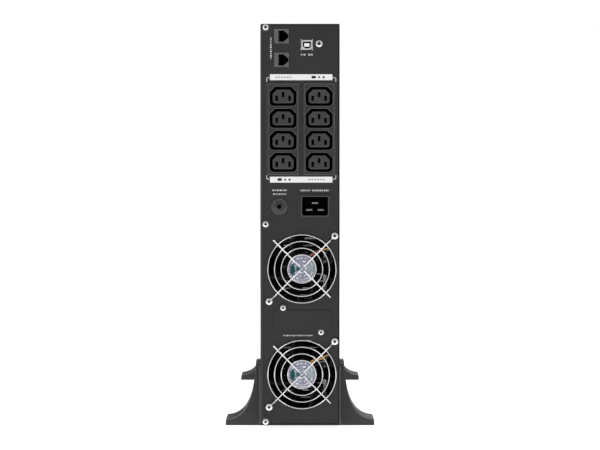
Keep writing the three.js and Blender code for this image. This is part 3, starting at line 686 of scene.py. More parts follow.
FAN_BORE = 38.0
FAN_HOLE = 71.5 / 2
RECESS = (29.4, 21.0, 5.8, 5.2)
TONGUE = (23.2, 15.2, 5.0, 3.9)
CONTACTS = [(-7, -2), (7, -2), (0, 2)]


PANEL_OPENINGS = {
    "inlet_housing": (32.4, 24.4, 0),
    "usb_shell": (13.4, 11.2, 0),
    "outlet_bank_left": (31, 97, 0),
    "outlet_bank_right": (31, 97, 0),
    "data_jack_upper": (17, 16.6, 0.6),
    "data_jack_lower": (17, 16.6, 0.6),
    "slot_cover": (52, 16, 1),
}
BREAKER_HOLE = 5.9


def rear_panel():
    low, high, cx, cz = placed("rear_panel")
    loops = [rectangle(cx, cz, high.x - low.x, high.z - low.z, 0.4)]
    for node, opening in PANEL_OPENINGS.items():
        loops.append(rectangle(*placed(node)[2:], *opening))
    for which in FANS:
        cx, cz = placed(f"fan_frame_{which}")[2:]
        loops.append(circle(cx, cz, FAN_BORE, 96))
        for side in (-1, 1):
            loops.append(circle(cx + side * FAN_HOLE, cz + side * FAN_HOLE, SCREW_HOLE, 16))
    loops.append(circle(*placed("breaker_button")[2:], BREAKER_HOLE, 32))
    small = ["usb_screw", "slot_cover_screw_left", "slot_cover_screw_right"]
    for node in small + [f"cover_screw_{name}" for name in COVER_SCREWS]:
        loops.append(circle(*placed(node)[2:], SCREW_HOLE, 16))
    return prism(bmesh.new(), loops, FACE, FACE + SHEET, 0.14, 1)


piece("rear_panel_sheet", rear_panel(), POWDER, ["rear_panel"])


# ---- screws
def pan_screw(node, radius, height, recess=0.46):
    """A pan-head screw with a cross recess. Its head's top is the node's rearmost point."""
    low, high, x, z = placed(node)
    top, seat = low.y, low.y + height
    profile = [(0, top), (0.6 * radius, top + 0.01 * height), (0.8 * radius, top + 0.06 * height),
        (0.91 * radius, top + 0.18 * height), (0.97 * radius, top + 0.42 * height),
        (radius, top + 0.78 * height), (radius, seat), (1.7, seat), (1.7, high.y - 0.8), (0.9, high.y),
        (0, high.y)]
    bm = lathe(bmesh.new(), profile, (x, z), 40)
    turn = math.radians(rng.uniform(-40, 40))
    cutter = bmesh.new()
    reach, width, depth = recess * radius, 0.2 * radius, 0.4 * height
    cross = []
    for quarter in range(4):
        angle = turn + quarter * math.pi / 2
        for a, b in ((reach, -width), (reach, width), (width, width)):
            cross.append((x + a * math.cos(angle) - b * math.sin(angle),
                z + a * math.sin(angle) + b * math.cos(angle)))
    prism(cutter, [cross], top - 1, top + depth)
    piece(f"{node}_head", carved(bm, cutter), ZINC, [node], crease=40)
    # A black floor in the cross recess is painted shade, which makes the recess readable from afar.
    floor = prism(bmesh.new(), [resized(cross, x, z, 0.97, 0.97)], top + 0.12 * height, top + depth + 0.1)
    piece(f"{node}_recess", floor, BLACK_AND_SHADE)


for name in COVER_SCREWS:
    pan_screw(f"cover_screw_{name}", 3.4, 1.9)
pan_screw("usb_screw", 4, 2.2)
for side in ("left", "right"):
    pan_screw(f"slot_cover_screw_{side}", 3.2, 2)
for fan in FANS:
    for side in ("left", "right"):
        pan_screw(f"guard_screw_{fan}_{side}", 3.9, 2.2, 0.42)


# ---- mains outlets
RIM = 1.5
SOCKET_FLOOR = FACE + 17 - RIM
SOCKET_PITCH = 24


def outlet_bank(side):
    node = f"outlet_bank_{side}"
    low, high, cx, cz = placed(node)
    levels = [cz + SOCKET_PITCH * (i - 1.5) for i in range(4)]
    recesses = [coupler(cx, z, *RECESS, soft=1.0) for z in levels]
    width, height = high.x - low.x, high.z - low.z
    bm = prism(bmesh.new(), [rectangle(cx, cz, width, height, 1.6), *recesses], FACE - RIM, FACE, 0.6, 3)
    block = rectangle(cx, cz, 30.4, 96.4)
    prism(bm, [block, *recesses], FACE - 0.6, SOCKET_FLOOR)
    prism(bm, [block], SOCKET_FLOOR, high.y)
    piece(f"{node}_housing", bm, DARK, [node])
    # The thin light lines round the bank and each recess mouth are painted edge highlights.
    lines = bmesh.new()
    border = rectangle(cx, cz, width - 1.1, height - 1.1, 1.2)
    tube(lines, [(x, FACE - RIM + 0.25, z) for x, z in border], 0.42, 8, closed=True)
    for z in levels:
        mouth = coupler(cx, z, RECESS[0] + 0.8, RECESS[1] + 0.8, *RECESS[2:])
        tube(lines, [(x, FACE - RIM + 0.2, z) for x, z in mouth], 0.3, 8, closed=True)
    piece(f"{node}_lines", lines, BANK_EDGE_HIGHLIGHT)
    # Near-black linings in each recess are painted shade.
    shade_liner = bmesh.new()
    for z in levels:
        outer = coupler(cx, z, RECESS[0] - 0.1, RECESS[1] - 0.1, *RECESS[2:])
        inner = coupler(cx, z, RECESS[0] - 1.2, RECESS[1] - 1.2, *RECESS[2:])
        prism(shade_liner, [outer, inner], FACE - RIM + 0.5, SOCKET_FLOOR - 0.2)
        prism(shade_liner, [outer], SOCKET_FLOOR - 0.6, SOCKET_FLOOR - 0.1)
    piece(f"{node}_liner", shade_liner, PAINTED_SHADE)
    tongues = bmesh.new()
    contacts = bmesh.new()
    for z in levels:
        slots = [rectangle(cx + dx, z + dz, 2.6, 5.6, 0.3) for dx, dz in CONTACTS]
        prism(tongues, [coupler(cx, z, *TONGUE), *slots], FACE - RIM, SOCKET_FLOOR + 0.2, 0.75, 3)
        for dx, dz in CONTACTS:
            for lean in (-1, 1):
                x = cx + dx + lean * 0.75
                brick(contacts, about(x, 0.22), (FACE + 12, FACE + 15), about(z + dz, 2), 0.1)
    piece(f"{node}_tongues", tongues, TONGUE_DARK)
    # The contacts' dark finish is painted shade.
    piece(f"{node}_contacts", contacts, CONTACT_SHADE)


for side in ("left", "right"):
    outlet_bank(side)


# ---- white strips, frame line and printed marks
INK_RISE = 0.05


def printed(name, outlines, finish, face=FACE):
    bm = bmesh.new()
    for outline in outlines:
        prism(bm, [outline], face - INK_RISE, face + 0.02)
    piece(name, bm, finish)


for where in ("top", "bottom"):
    low, high, cx, cz = placed(f"output_label_{where}")
    outline = rectangle(cx, cz, high.x - low.x, high.z - low.z, 0.5)
    strip = prism(bmesh.new(), [outline], low.y, high.y, 0.05, 1)
    piece(f"output_strip_{where}", strip, LABEL, [f"output_label_{where}"])
    start = 14.9 if where == "top" else -22.2
    marks = [rectangle(start, cz + 0.1, 4.6, 2.8, 0.5), rectangle(start + 6, cz, 1.9, 1.9, 0.4),
        circle(start + 10.9, cz, 1.2, 20)]
    printed(f"output_marks_{where}", marks, BLACK_INK, low.y)
    start = -26.0 if where == "top" else 10.2
    bars = [rectangle(start + 3.15 * i, cz, 2.2, 1.0, 0.3, 2) for i in range(6)]
    printed(f"output_dashes_{where}", bars, GREY_INK, low.y)


def ribbon(points, width):
    """The outline of an even stroke along a line of points."""
    left, right = [], []
    for i, point in enumerate(points):
        ahead = Vector(points[min(i + 1, len(points) - 1)])
        behind = Vector(points[max(i - 1, 0)])
        along = (ahead - behind).normalized()
        across = Vector((-along.y, along.x)) * width / 2
        left.append(tuple(Vector(point) + across))
        right.append(tuple(Vector(point) - across))
    return left + right[::-1]


strip_low = box_mm("output_label_bottom")
strip_high = box_mm("output_label_top")
banks = (box_mm("outlet_bank_left")[0].x, box_mm("outlet_bank_right")[1].x)
LINE = 0.5
CORNER = 1.3
frame_x = (banks[0] - 0.9, banks[1] + 1.2)
frame_z = ((strip_low[0].z + strip_low[1].z) / 2 + 0.5, (strip_high[0].z + strip_high[1].z) / 2 - 0.5)
sides, ends = [], []
for x, away, strip_end in ((frame_x[0], -1, strip_low[0].x), (frame_x[1], 1, strip_low[1].x)):
    sides.append(ribbon([(x, frame_z[0] + 4.4), (x, frame_z[1] - 4.4)], LINE * 0.8))
    for z, up in ((frame_z[0], -1), (frame_z[1], 1)):
        turn = []
        for k in range(10):
            t = math.radians(10 * k)
            turn.append((x - away * CORNER * (1 - math.cos(t)), z - up * CORNER * (1 - math.sin(t))))
        ends.append(ribbon([(x, z - up * 4.4), *turn, (strip_end + away * 0.5, z)], LINE * 1.5))
printed("frame_line_sides", sides, LINE_INK)
printed("frame_line_corners", ends, BRIGHT_INK)


def dashes(x, z, length, height, upright=False):
    """A row of plain short bars that stands for a line of small print."""
    made, spot = [], 0.0
    while spot < length - 1.2:
        step = min(rng.uniform(1.5, 3.2), length - spot)
        centre = spot + step / 2
        bar = step - rng.uniform(0.75, 1.05)
        if upright:
            made.append(rectangle(x, z + centre, height, bar, 0.2, 2))
        else:
            made.append(rectangle(x + centre, z, bar, height, 0.2, 2))
        spot += step
    return made


usb = middle_mm("usb_shell")
inlet = middle_mm("inlet_housing")
breaker = middle_mm("breaker_button")
jack_left = box_mm("data_jack_upper")[0].x
slot_low = box_mm("slot_cover")[0].z
marks = dashes(usb.x - 7.1, usb.z - 10.7, 6.6, 1.8)
marks += dashes(usb.x + 1, usb.z - 10.7, 6.4, 1.8)
marks += dashes(inlet.x - 16.2, inlet.z + 17.2, 11.4, 1.8)
marks += dashes(inlet.x - 3.4, inlet.z + 17.2, 19, 1.8)
marks += dashes(breaker.x - 8, breaker.z + 17.8, 16.6, 1.7)
marks += dashes(breaker.x - 7.4, breaker.z + 13.6, 15.4, 1.5)
marks += dashes(-19, slot_low + 1.4, 33, 1.4)
marks += dashes(jack_left - 3.4, middle_mm("data_jack_lower").z + 1, 23.6, 1.6, upright=True)
printed("panel_marks", marks, WHITE_INK)


# ---- mains inlet
INLET_FLOOR = FACE + 17.0


def inlet_housing():
    low, high = box_mm("inlet_housing")
    cx, cz = inlet.x, inlet.z
    width, height = high.x - low.x, high.z - low.z
    cavity = rounded([(cx + 14.2, cz - 10.4), (cx + 14.2, cz + 10.4), (cx - 14.2, cz + 10.4),
        (cx - 14.2, cz - 10.4)], [2.8, 0.8, 0.8, 2.8])
    bm = prism(bmesh.new(), [rectangle(cx, cz, width, height, 1.3), cavity], FACE - 1.1, FACE, 0.35, 3)
    prism(bm, [rectangle(cx, cz, 33.2, 24.6, 1.6), cavity], low.y, FACE - 0.75, 0.7, 3)
    box = rectangle(cx, cz, 31.8, 23.8)
    prism(bm, [box, cavity], FACE - 0.8, INLET_FLOOR)
    prism(bm, [box], INLET_FLOOR, high.y)
    piece("inlet_shell", bm, DARK, ["inlet_housing"])
    # The light ring round the inlet's cavity is a painted highlight.
    edge = resized(cavity, cx, cz, 1.055, 1.075)
    rim = prism(bmesh.new(), [edge, cavity], low.y - 0.12, low.y + 0.5, 0.1, 2)
    piece("inlet_rim", rim, COLLAR_AND_RIM_HIGHLIGHT)
    # Near-black linings in the cavity are painted shade.
    shade_liner = bmesh.new()
    inner, core = (resized(cavity, cx, cz, size, size) for size in (0.985, 0.95))
    prism(shade_liner, [inner, core], FACE + 1, INLET_FLOOR - 0.4)
    prism(shade_liner, [inner], INLET_FLOOR - 0.8, INLET_FLOOR - 0.2)
    piece("inlet_liner", shade_liner, PAINTED_SHADE)
    for pole in ("earth", "line", "neutral"):
        blade_low, blade_high = box_mm(f"inlet_blade_{pole}")
        blade = brick(bmesh.new(), *zip(blade_low, blade_high), 0.4, 2)
        piece(f"inlet_pin_{pole}", blade, TIN, [f"inlet_blade_{pole}"])


inlet_housing()


# ---- breaker
def breaker_parts():
    centre = (breaker.x, breaker.z)
    neck = box_mm("breaker_body")[0].y
    deep = box_mm("breaker_body")[1].y
    ring = [(4.3, neck + 0.6), (4.7, neck), (5.0, neck), (5.8, neck + 0.9), (5.8, FACE - 2.1),
        (6.3, FACE - 1.75), (6.9, FACE - 1.75), (7.2, FACE - 2.15), (7.6, FACE - 2.4), (8.1, FACE - 2.4),
        (8.8, FACE - 1.9), (9.2, FACE - 1.1), (9.2, FACE), (5.6, FACE), (5.6, FACE + 10), (4.3, FACE + 10)]
    bm = lathe(bmesh.new(), ring, centre, 64, closed=True)
    brick(bm, about(breaker.x, 7.5), (FACE + 10.2, deep), about(breaker.z, 7.5), 0.6)
    piece("breaker_collar", bm, COLLAR_AND_RIM_HIGHLIGHT, ["breaker_body"])
    low, high = box_mm("breaker_button")
    rear = low.y
    dome = [(0, rear + 0.5), (1.8, rear + 0.42), (2.7, rear + 0.12), (3.1, rear), (3.6, rear + 0.1),
        (3.9, rear + 0.4), (4, rear + 0.9), (4, high.y), (0, high.y)]
    button = lathe(bmesh.new(), dome, centre, 48)
    piece("breaker_push", button, COLLAR_AND_RIM_HIGHLIGHT, ["breaker_button"], "breaker_plunger")
    # A near-black disc in the button's hollow is painted shade.
    hollow = [(0, rear + 0.35), (2.2, rear + 0.2), (2.9, rear - 0.02), (2.9, rear + 0.9), (0, rear + 0.9)]
    dimple = lathe(bmesh.new(), hollow, centre, 40)
    piece("breaker_dimple", dimple, PAINTED_SHADE, body="breaker_plunger")


breaker_parts()


# ---- data sockets
JACK_FLOOR = FACE + 13.2
JACK_PINS = 8
USB_FLOOR = FACE + 15.0


def data_jack(which):
    node = f"data_jack_{which}"
    low, high, cx, cz = placed(node)
    left = cx - 3.3
    half = [(0, 6.1), (6.6, 6.1), (6.6, 4.4), (8.8, 4.4), (8.8, 2.4), (10.8, 2.4)]
    corners = [(left + x, cz + z) for x, z in half] + [(left + x, cz - z) for x, z in reversed(half)]
    mouth = rounded(corners[::-1], 0.25, 2)
    face = rectangle(cx, cz, high.x - low.x, high.z - low.z, 0.5)
    bm = prism(bmesh.new(), [face, mouth], low.y, JACK_FLOOR, 0.25, 2)
    prism(bm, [face], JACK_FLOOR, high.y)
    piece(f"{node}_body", bm, GREY, [node])
    # Near-black linings in the jack's mouth are painted shade.
    shade_liner = bmesh.new()
    inner, core = (resized(mouth, cx + 1, cz, size, size) for size in (0.988, 0.95))
    prism(shade_liner, [inner, core], FACE + 0.5, JACK_FLOOR - 0.2)
    prism(shade_liner, [inner], JACK_FLOOR - 0.6, JACK_FLOOR - 0.1)
    piece(f"{node}_liner", shade_liner, PAINTED_SHADE)
    pins = bmesh.new()
    for i in range(JACK_PINS):
        z = cz + (i - (JACK_PINS - 1) / 2) * 1.02
        path = [(left + 0.7, FACE + 4.5, z), (left + 0.9, FACE + 6, z), (left + 2.6, FACE + 10.5, z)]
        tube(pins, path, 0.2, 8)
    piece(f"{node}_pins", pins, BRASS)


for which in ("upper", "lower"):
    data_jack(which)


def usb_socket():
    def square(width, height, chamfer):
        w, h = width / 2, height / 2
        corners = [(w, -h + chamfer), (w, h), (-w, h), (-w, -h + chamfer), (-w + chamfer, -h),
            (w - chamfer, -h)]
        return rounded([(usb.x + x, usb.z + z) for x, z in corners], 0.35, 3)

    deep = box_mm("usb_shell")[1].y
    outside, mouth = square(12.8, 10.6, 2.4), square(8.7, 7.5, 1.8)
    lined, core = square(8.6, 7.4, 1.8), square(7.8, 6.6, 1.5)
    bm = prism(bmesh.new(), [outside, mouth], FACE - 0.9, USB_FLOOR, 0.3, 3)
    prism(bm, [outside], USB_FLOOR, deep)
    for sx in (-1, 1):
        for sz in (-1, 1):
            x, z = usb.x + sx * 6, usb.z + sz * 4.6
            brick(bm, about(x, 0.6), (FACE - 0.9, FACE - 0.1), about(z, 1.5), 0.2)
    piece("usb_metal_shell", bm, NICKEL, ["usb_shell"])
    # The black lining inside the metal shell is painted shade.
    shade_liner = prism(bmesh.new(), [lined, core], FACE - 0.1, USB_FLOOR - 0.4)
    prism(shade_liner, [lined], USB_FLOOR - 2.5, USB_FLOOR - 0.2)
    piece("usb_liner", shade_liner, BLACK_AND_SHADE)
    tongue = brick(bmesh.new(), about(usb.x, 2.9), (FACE + 0.2, FACE + 12.6), about(usb.z, 1.9), 0.35)
    piece("usb_white_tongue", tongue, WHITE, ["usb_tongue"])
    pads = bmesh.new()
    for sx in (-1.3, 1.3):
        for side in (-1, 1):
            z = usb.z + side * 1.93
            brick(pads, about(usb.x + sx, 0.5), (FACE + 1, FACE + 9), about(z, 0.06), 0.03, 1)
    piece("usb_pads", pads, BRASS)


usb_socket()


# ---- blanking plate
PLATE_HEIGHT = 24.6
PLATE_DROP = 2.6  # from the upper screw down to the plate's upper edge
EAR_RADIUS = 5.0


def slot_cover():
    """A plate with a round ear for a screw at the top left and another at the bottom right."""
    low, high = box_mm("slot_cover")
    left = middle_mm("slot_cover_screw_left")
    right = middle_mm("slot_cover_screw_right")
    ear = EAR_RADIUS
    top = left.z - PLATE_DROP
    base = top - PLATE_HEIGHT
    x0, x1 = low.x, high.x
    outline = [(right.x - ear, base), (right.x - ear, right.z)]
    outline += arc(right.x, right.z, ear, 180, 360, 24) + [(right.x + ear, base)]
    outline += arc(x1 - 2, base + 2, 2, 270, 360, 5) + arc(x1 - 2, top - 2, 2, 0, 90, 5)
    outline += [(left.x + ear, top)] + arc(left.x, left.z, ear, 0, 180, 24) + [(left.x - ear, top)]
    outline += arc(x0 + 2, top - 2, 2, 90, 180, 5) + arc(x0 + 2, base + 2, 2, 180, 270, 5)
    holes = [circle(spot.x, spot.z, SCREW_HOLE, 20) for spot in (left, right)]
    bm = prism(bmesh.new(), [without_repeats(outline), *holes], low.y, high.y, 0.22, 2)
    piece("slot_blank", bm, POWDER_PLATE, ["slot_cover"])


slot_cover()


# ---- fans
FAN_SIZE = 79.8
FAN_DEPTH = 25
FLANGE_DEPTH = 4
BLADES = 7
BLADE_ROOT = 16.4
BLADE_TIP = 36.4
GUARD_RINGS = [15.4, 22.6, 29.9, 37.1]
GUARD_Y = FACE - 3.3
BAR_Y = GUARD_Y - 0.55
LEAD_ROUTES = {"upper": [(8.6, 14.4), (13.6, 17.8), (19.4, 20), (25.6, 20.7), (30, 21.2)],
    "lower": [(9.5, 12.5), (14, 15), (20, 17.2), (25.5, 19), (30, 20.8)]}
LEAD_COLOURS = {"upper": {"inner": ("red", "black"), "outer": ("black", "yellow")},
    "lower": {"inner": ("yellow", "yellow"), "outer": ("black", "yellow")}}


def on_curve(points, steps):
    """A smooth line through a few points."""
    ends = [points[0], *points, points[-1]]
    made = []
    for i in range(1, len(ends) - 2):
        p0, p1, p2, p3 = (Vector(ends[i + k]) for k in (-1, 0, 1, 2))
        for s in range(steps):
            t = s / steps
            square, cube = 2 * p0 - 5 * p1 + 4 * p2 - p3, 3 * p1 - p0 - 3 * p2 + p3
            made.append(0.5 * (2 * p1 + (p2 - p0) * t + square * t**2 + cube * t**3))
    made.append(Vector(points[-1]))
    return made


def fan_frame(which, cx, cz, face):
    node = f"fan_frame_{which}"
    corners = [(cx + a * FAN_HOLE, cz + b * FAN_HOLE) for a in (-1, 1) for b in (-1, 1)]
    holes = [circle(x, z, SCREW_HOLE, 20) for x, z in corners]
    outer = rectangle(cx, cz, FAN_SIZE, FAN_SIZE, 4)
    bore = circle(cx, cz, FAN_BORE, 96)
    near, far = face + FLANGE_DEPTH, face + FAN_DEPTH - FLANGE_DEPTH
    bm = bmesh.new()
    for start, end in ((face, near), (far, face + FAN_DEPTH)):
        prism(bm, [outer, bore, *holes], start, end, 0.4, 2)
    prism(bm, [circle(cx, cz, 39.7, 96), bore], near - 0.5, far + 0.5)
    for x, z in corners:
        prism(bm, [circle(x, z, 4, 32), circle(x, z, SCREW_HOLE, 20)], near - 0.5, far + 0.5)
    rear = [(0, face), (15.8, face), (16.2, face + 0.4), (16.2, face + 6.5), (0, face + 6.5)]
    lathe(bm, rear, (cx, cz), 64)
    for i in range(4):
        start = 0.62 + i * math.pi / 2
        line = []
        for k in range(9):
            t = k / 8
            radius, turn = 15 + 24 * t, start - 0.42 * t
            line.append((cx + radius * math.cos(turn), cz + radius * math.sin(turn)))
        prism(bm, [ribbon(line, 3.2)], face + 0.4, face + 4, 0.5, 2)
    piece(f"{node}_shell", bm, FAN_DARK, [node])


def fan_rotor(which, cx, cz, face):
    node = f"fan_rotor_{which}"
    bm = bmesh.new()
    hub = [(0, face + 8), (16.2, face + 8), (17.2, face + 9), (17.2, face + 23), (16.2, face + 24),
        (0, face + 24)]
    lathe(bm, hub, (cx, cz), 64)
    middle = face + 16
    for i in range(BLADES):
        turn = 2 * math.pi * i / BLADES
        grid = []
        for u in range(9):
            span = u / 8
            radius = BLADE_ROOT + span * (BLADE_TIP - BLADE_ROOT)
            reach = 5.2 + 1.6 * span
            rise = 7.6 - 2.2 * span
            row = []
            for v in range(11):
                s = 2 * v / 10 - 1
                angle = turn + (s * reach) / radius - 0.16 * span**2
                y = middle + s * rise + 1.4 * (1 - s * s) * (0.4 + 0.6 * span)
                row.append((cx + radius * math.cos(angle), y, cz + radius * math.sin(angle)))
            grid.append(row)
        sheet(bm, grid, 1.5)
    piece(f"{node}_blades", bm, FAN_DARK, [node], f"{which}_rotor", crease=50)


def fan_guard(which, cx, cz):
    node = f"fan_guard_{which}"
    bm = bmesh.new()
    for radius in GUARD_RINGS:
        path = [(x, GUARD_Y, z) for x, z in circle(cx, cz, radius, 128)]
        tube(bm, path, 0.66, 12, closed=True)
    eye = FAN_HOLE * math.sqrt(2)
    for quarter in range(4):
        turn = math.pi / 4 + quarter * math.pi / 2

        def at(radius, y, aside=0.0):
            return (cx + radius * math.cos(turn) - aside * math.sin(turn), y,
                cz + radius * math.sin(turn) + aside * math.cos(turn))

        if quarter % 2:
            path = [at(r, BAR_Y) for r in (3.0, 12, 24, 36, 43.9)]
            tube(bm, path, 0.95, 12)
            continue
        flat = FACE - 0.85
        path = [at(3.0, BAR_Y), at(20, BAR_Y), at(40, BAR_Y), at(42.4, BAR_Y), at(43.6, BAR_Y + 0.4)]
        path += [at(44.1, BAR_Y + 1.3), at(44.3, flat - 0.9), at(44.8, flat - 0.2), at(45.8, flat)]
        path += [at(eye - 3.4, flat, -0.3)]
        for k in range(19):
            loop = math.pi + math.radians(340) * k / 18
            path.append(at(eye + 2.9 * math.cos(loop), flat, 2.9 * math.sin(loop)))
        tube(bm, path, 0.86, 12)
    piece(f"{node}_wire", bm, CHROME, [node], crease=60)


def fan_sticker(which, cx, cz, face):
    top = face - 0.12
    profile = [(0, top), (15.2, top), (15.4, face + 0.02), (0, face + 0.02)]
    disc = lathe(bmesh.new(), profile, (cx, cz), 72)
    piece(f"fan_sticker_{which}", disc, STICKER, origin=Vector((cx, face, cz)))


def fan_leads(which, cx, cz):
    """Two wires side by side that run out from the hub, each in an inner and an outer length."""
    route = on_curve([(cx + x, FACE + 0.05, cz + z) for x, z in LEAD_ROUTES[which]], 6)
    split = len(route) * 3 // 5
    for part, points in (("inner", route[: split + 1]), ("outer", route[split:])):
        for strand, aside in enumerate((-0.85, 0.85)):
            moved = [p + Vector((-0.35 * aside, 0, 0.93 * aside)) for p in points]
            finish = WIRES[LEAD_COLOURS[which][part][strand]]
            stands_for = [f"fan_lead_{which}"] if (part, strand) == ("inner", 0) else ()
            wire_mesh = tube(bmesh.new(), moved, 0.8, 10)
            piece(f"fan_lead_{which}_{part}_{strand}", wire_mesh, finish, stands_for)


for which in FANS:
    low, high, cx, cz = placed(f"fan_frame_{which}")
    fan_frame(which, cx, cz, low.y)
    fan_rotor(which, cx, cz, low.y)
    fan_guard(which, cx, cz)
    fan_sticker(which, cx, cz, low.y)
    fan_leads(which, cx, cz)


# ---- stands
EDGE_LINE = 0.5  # the radius of the raised lines
EDGE_LINE_IN = 0.9  # their distance from the case


def stand_half(node, sign):
    low, high = box_mm(node)
    tip = max(abs(low.x), abs(high.x))
    seam = min(abs(low.x), abs(high.x))
    inner = CASE_SIDE + 0.3
    waist, top, plate = 68.0, high.z, 4.0
    sweep = cubic((inner + 5.6, waist), (52, 22), (64, 9), (tip - 1.6, 7.6), 32)
    shape = [(seam, 0), (seam, plate), (inner, plate), (inner, top), (inner + 5.6, top), *sweep]
    shape += [(tip - 0.7, 7.2), (tip - 0.4, 6.4), (tip, 0)]
    outline = [(sign * x, z) for x, z in shape]
    bm = prism(bmesh.new(), [outline], low.y, high.y, 1.1, 3)
    cutter = bmesh.new()
    xs = sorted((sign * (inner - 2), sign * (inner + 8)))
    brick(cutter, xs, (low.y + 3, low.y + 15), (top - 2.4, top + 3), 0)
    piece(f"{node}_moulding", carved(bm, cutter), STAND_DARK, [node])
    # A fine raised line follows the sweep and the case on both faces; its light grey is a painted edge
    # highlight.
    lines = bmesh.new()
    upright = sign * (inner + EDGE_LINE_IN)
    for y in (low.y + 0.2, high.y - 0.2):
        tube(lines, [(sign * (x - 0.25), y, z - 0.75) for x, z in sweep[6:]], EDGE_LINE, 8)
        tube(lines, [(upright, y, z) for z in (1.5, 30, waist - 2)], EDGE_LINE, 8)
        tube(lines, [(upright, y, top - 0.9), (sign * (inner + 5), y, top - 0.9)], EDGE_LINE, 8)
    piece(f"{node}_lines", lines, STAND_EDGE_HIGHLIGHT)


for end in ("rear", "front"):
    stand_half(f"stand_{end}_left", -1)
    stand_half(f"stand_{end}_right", 1)


# ---- front bezel and display
def section(side, back, front, crown):
    """The bezel's section, seen from above."""
    right = cubic((side, front - crown), (side, front - 2), (side / 2, front), (0, front), 16)
    left = cubic((0, front), (-side / 2, front), (-side, front - 2), (-side, front - crown), 16)
    return [(-side, back), (side, back), *right, *left[1:]]


DIAL = placed("display_dial")[2:]
DIAL_FACE = box_mm("display_dial")[1].y
DIAL_BACK = 287.0


BEZEL_FRONT = 297.0
BEZEL_CROWN = 9.0  # how far its sides stand back from its middle
BEZEL_WALL = 2.4
DIAL_OPENING = 36.0
SLOT_PITCH = 9.5
SLOT_RUNS = ((34.3, 25), (382.3, 5))  # the lowest slot and the number of slots, below and above the dial
GRILLE_RUNS = ((20, 286), (367, 434))


def front_bezel():
    low, high = box_mm("front_bezel")
    outside = section(CASE_SIDE, low.y, BEZEL_FRONT, BEZEL_CROWN)
    shell = prism(bmesh.new(), [outside], low.z, high.z, 1.2, 4, turn=ALONG_Z)
    inside = section(CASE_SIDE - BEZEL_WALL, low.y - 2, BEZEL_FRONT - BEZEL_WALL, BEZEL_CROWN)
    hollow = prism(bmesh.new(), [inside], low.z + BEZEL_WALL, high.z - BEZEL_WALL, turn=ALONG_Z)
    shell = carved(shell, hollow)
    openings = bmesh.new()
    for start, count in SLOT_RUNS:
        for i in range(count):
            prism(openings, [rectangle(0, start + SLOT_PITCH * i, 58, 3.4, 1.6)], 278, 299)
    prism(openings, [circle(*DIAL, DIAL_OPENING, 96)], 270, 305)
    shell = carved(shell, openings)
    boss = [(34.3, 287.5), (34.3, 297.1), (34.9, 297.6), (37.6, 297.6), (38.5, 296.8), (38.5, 284.2),
        (9.3, 284.2), (9.3, 286.7), (34.3, 286.7)]
    lathe(shell, boss, DIAL, 96, closed=True)
    piece("bezel_shell", shell, DARK, ["front_bezel"], "bezel")
    # Upright wires behind the air slots hold a dark sheet of filter foam.
    wires = bmesh.new()
    foam = bmesh.new()
    for span in GRILLE_RUNS:
        for x in range(-30, 31, 4):
            brick(wires, about(x, 0.4), (283.4, 284.2), span, 0.15, 1)
        brick(foam, (-32, 32), (281.6, 283.3), span, 0.4)
    piece("bezel_grille", wires, BLACK_AND_SHADE, body="bezel")
    piece("bezel_filter", foam, FILTER, body="bezel")


front_bezel()


KEYS = {"left": -14, "middle": 0, "right": 14}
KEY_DROP = 17.5  # from the dial's middle down to the keys


def display():
    cx, cz = DIAL
    disc = bmesh.new()
    profile = [(0, DIAL_BACK - 6), (9, DIAL_BACK - 6), (9, DIAL_BACK), (34, DIAL_BACK),
        (34, DIAL_FACE - 0.8), (33.2, DIAL_FACE), (31.4, DIAL_FACE), (31.0, DIAL_FACE - 0.35),
        (30.6, DIAL_FACE), (0, DIAL_FACE)]
    lathe(disc, profile, DIAL, 96)
    cutter = prism(bmesh.new(), [rectangle(cx, cz + 8, 44, 28, 2)], DIAL_FACE - 1.9, DIAL_FACE + 1)
    for dx in KEYS.values():
        prism(cutter, [rectangle(cx + dx, cz - KEY_DROP, 10.6, 6.6, 2.6)], DIAL_FACE - 7.5, DIAL_FACE + 1)
    piece("dial_disc", carved(disc, cutter), BLACK_AND_SHADE, ["display_dial"], "display")
    pane = prism(bmesh.new(), [rectangle(cx, cz + 8, 43.4, 27.4, 1.8)], DIAL_FACE - 1.6, DIAL_FACE, 0.25, 2)
    piece("display_pane", pane, GLASS, ["display_window"], "display")
    # Plain picture signs: a battery with four bars, a rising load scale and a sine wave.
    signs = bmesh.new()

    def mark(outline):
        prism(signs, [outline], DIAL_FACE - 0.01, DIAL_FACE + 0.05)

    for i in range(4):
        mark(rectangle(cx - 14.5 + 3.2 * i, cz + 2.5, 2.3, 5, 0.3, 2))
    body = rectangle(cx - 9.7, cz + 2.5, 15.6, 7.6, 0.9, 3)
    inner = rectangle(cx - 9.7, cz + 2.5, 14.6, 6.6, 0.6, 3)
    prism(signs, [body, inner], DIAL_FACE - 0.01, DIAL_FACE + 0.05)
    mark(rectangle(cx - 1.3, cz + 2.5, 0.8, 3, 0.2, 2))
    for i in range(6):
        mark(rectangle(cx + 4 + 2.6 * i, cz + 0.2 + 0.55 * i, 1.7, 2 + 1.1 * i, 0.2, 2))
    wave = [(cx - 16 + 0.6 * k, cz + 14.5 + 2.6 * math.sin(0.6 * k * 0.7)) for k in range(54)]
    mark(ribbon(wave, 0.55))
    piece("display_signs", signs, GLOW, body="display")
    for side, dx in KEYS.items():
        key_low, key_high = box_mm(f"display_key_{side}")
        outline = rectangle(cx + dx, cz - KEY_DROP, 10, 6, 2.4)
        key = prism(bmesh.new(), [outline], key_low.y, key_high.y, 0.7, 3)
        piece(f"key_{side}", key, GREY, [f"display_key_{side}"], f"{side}_key")
    refined("display_board", CIRCUIT, "display", 0.15)


display()


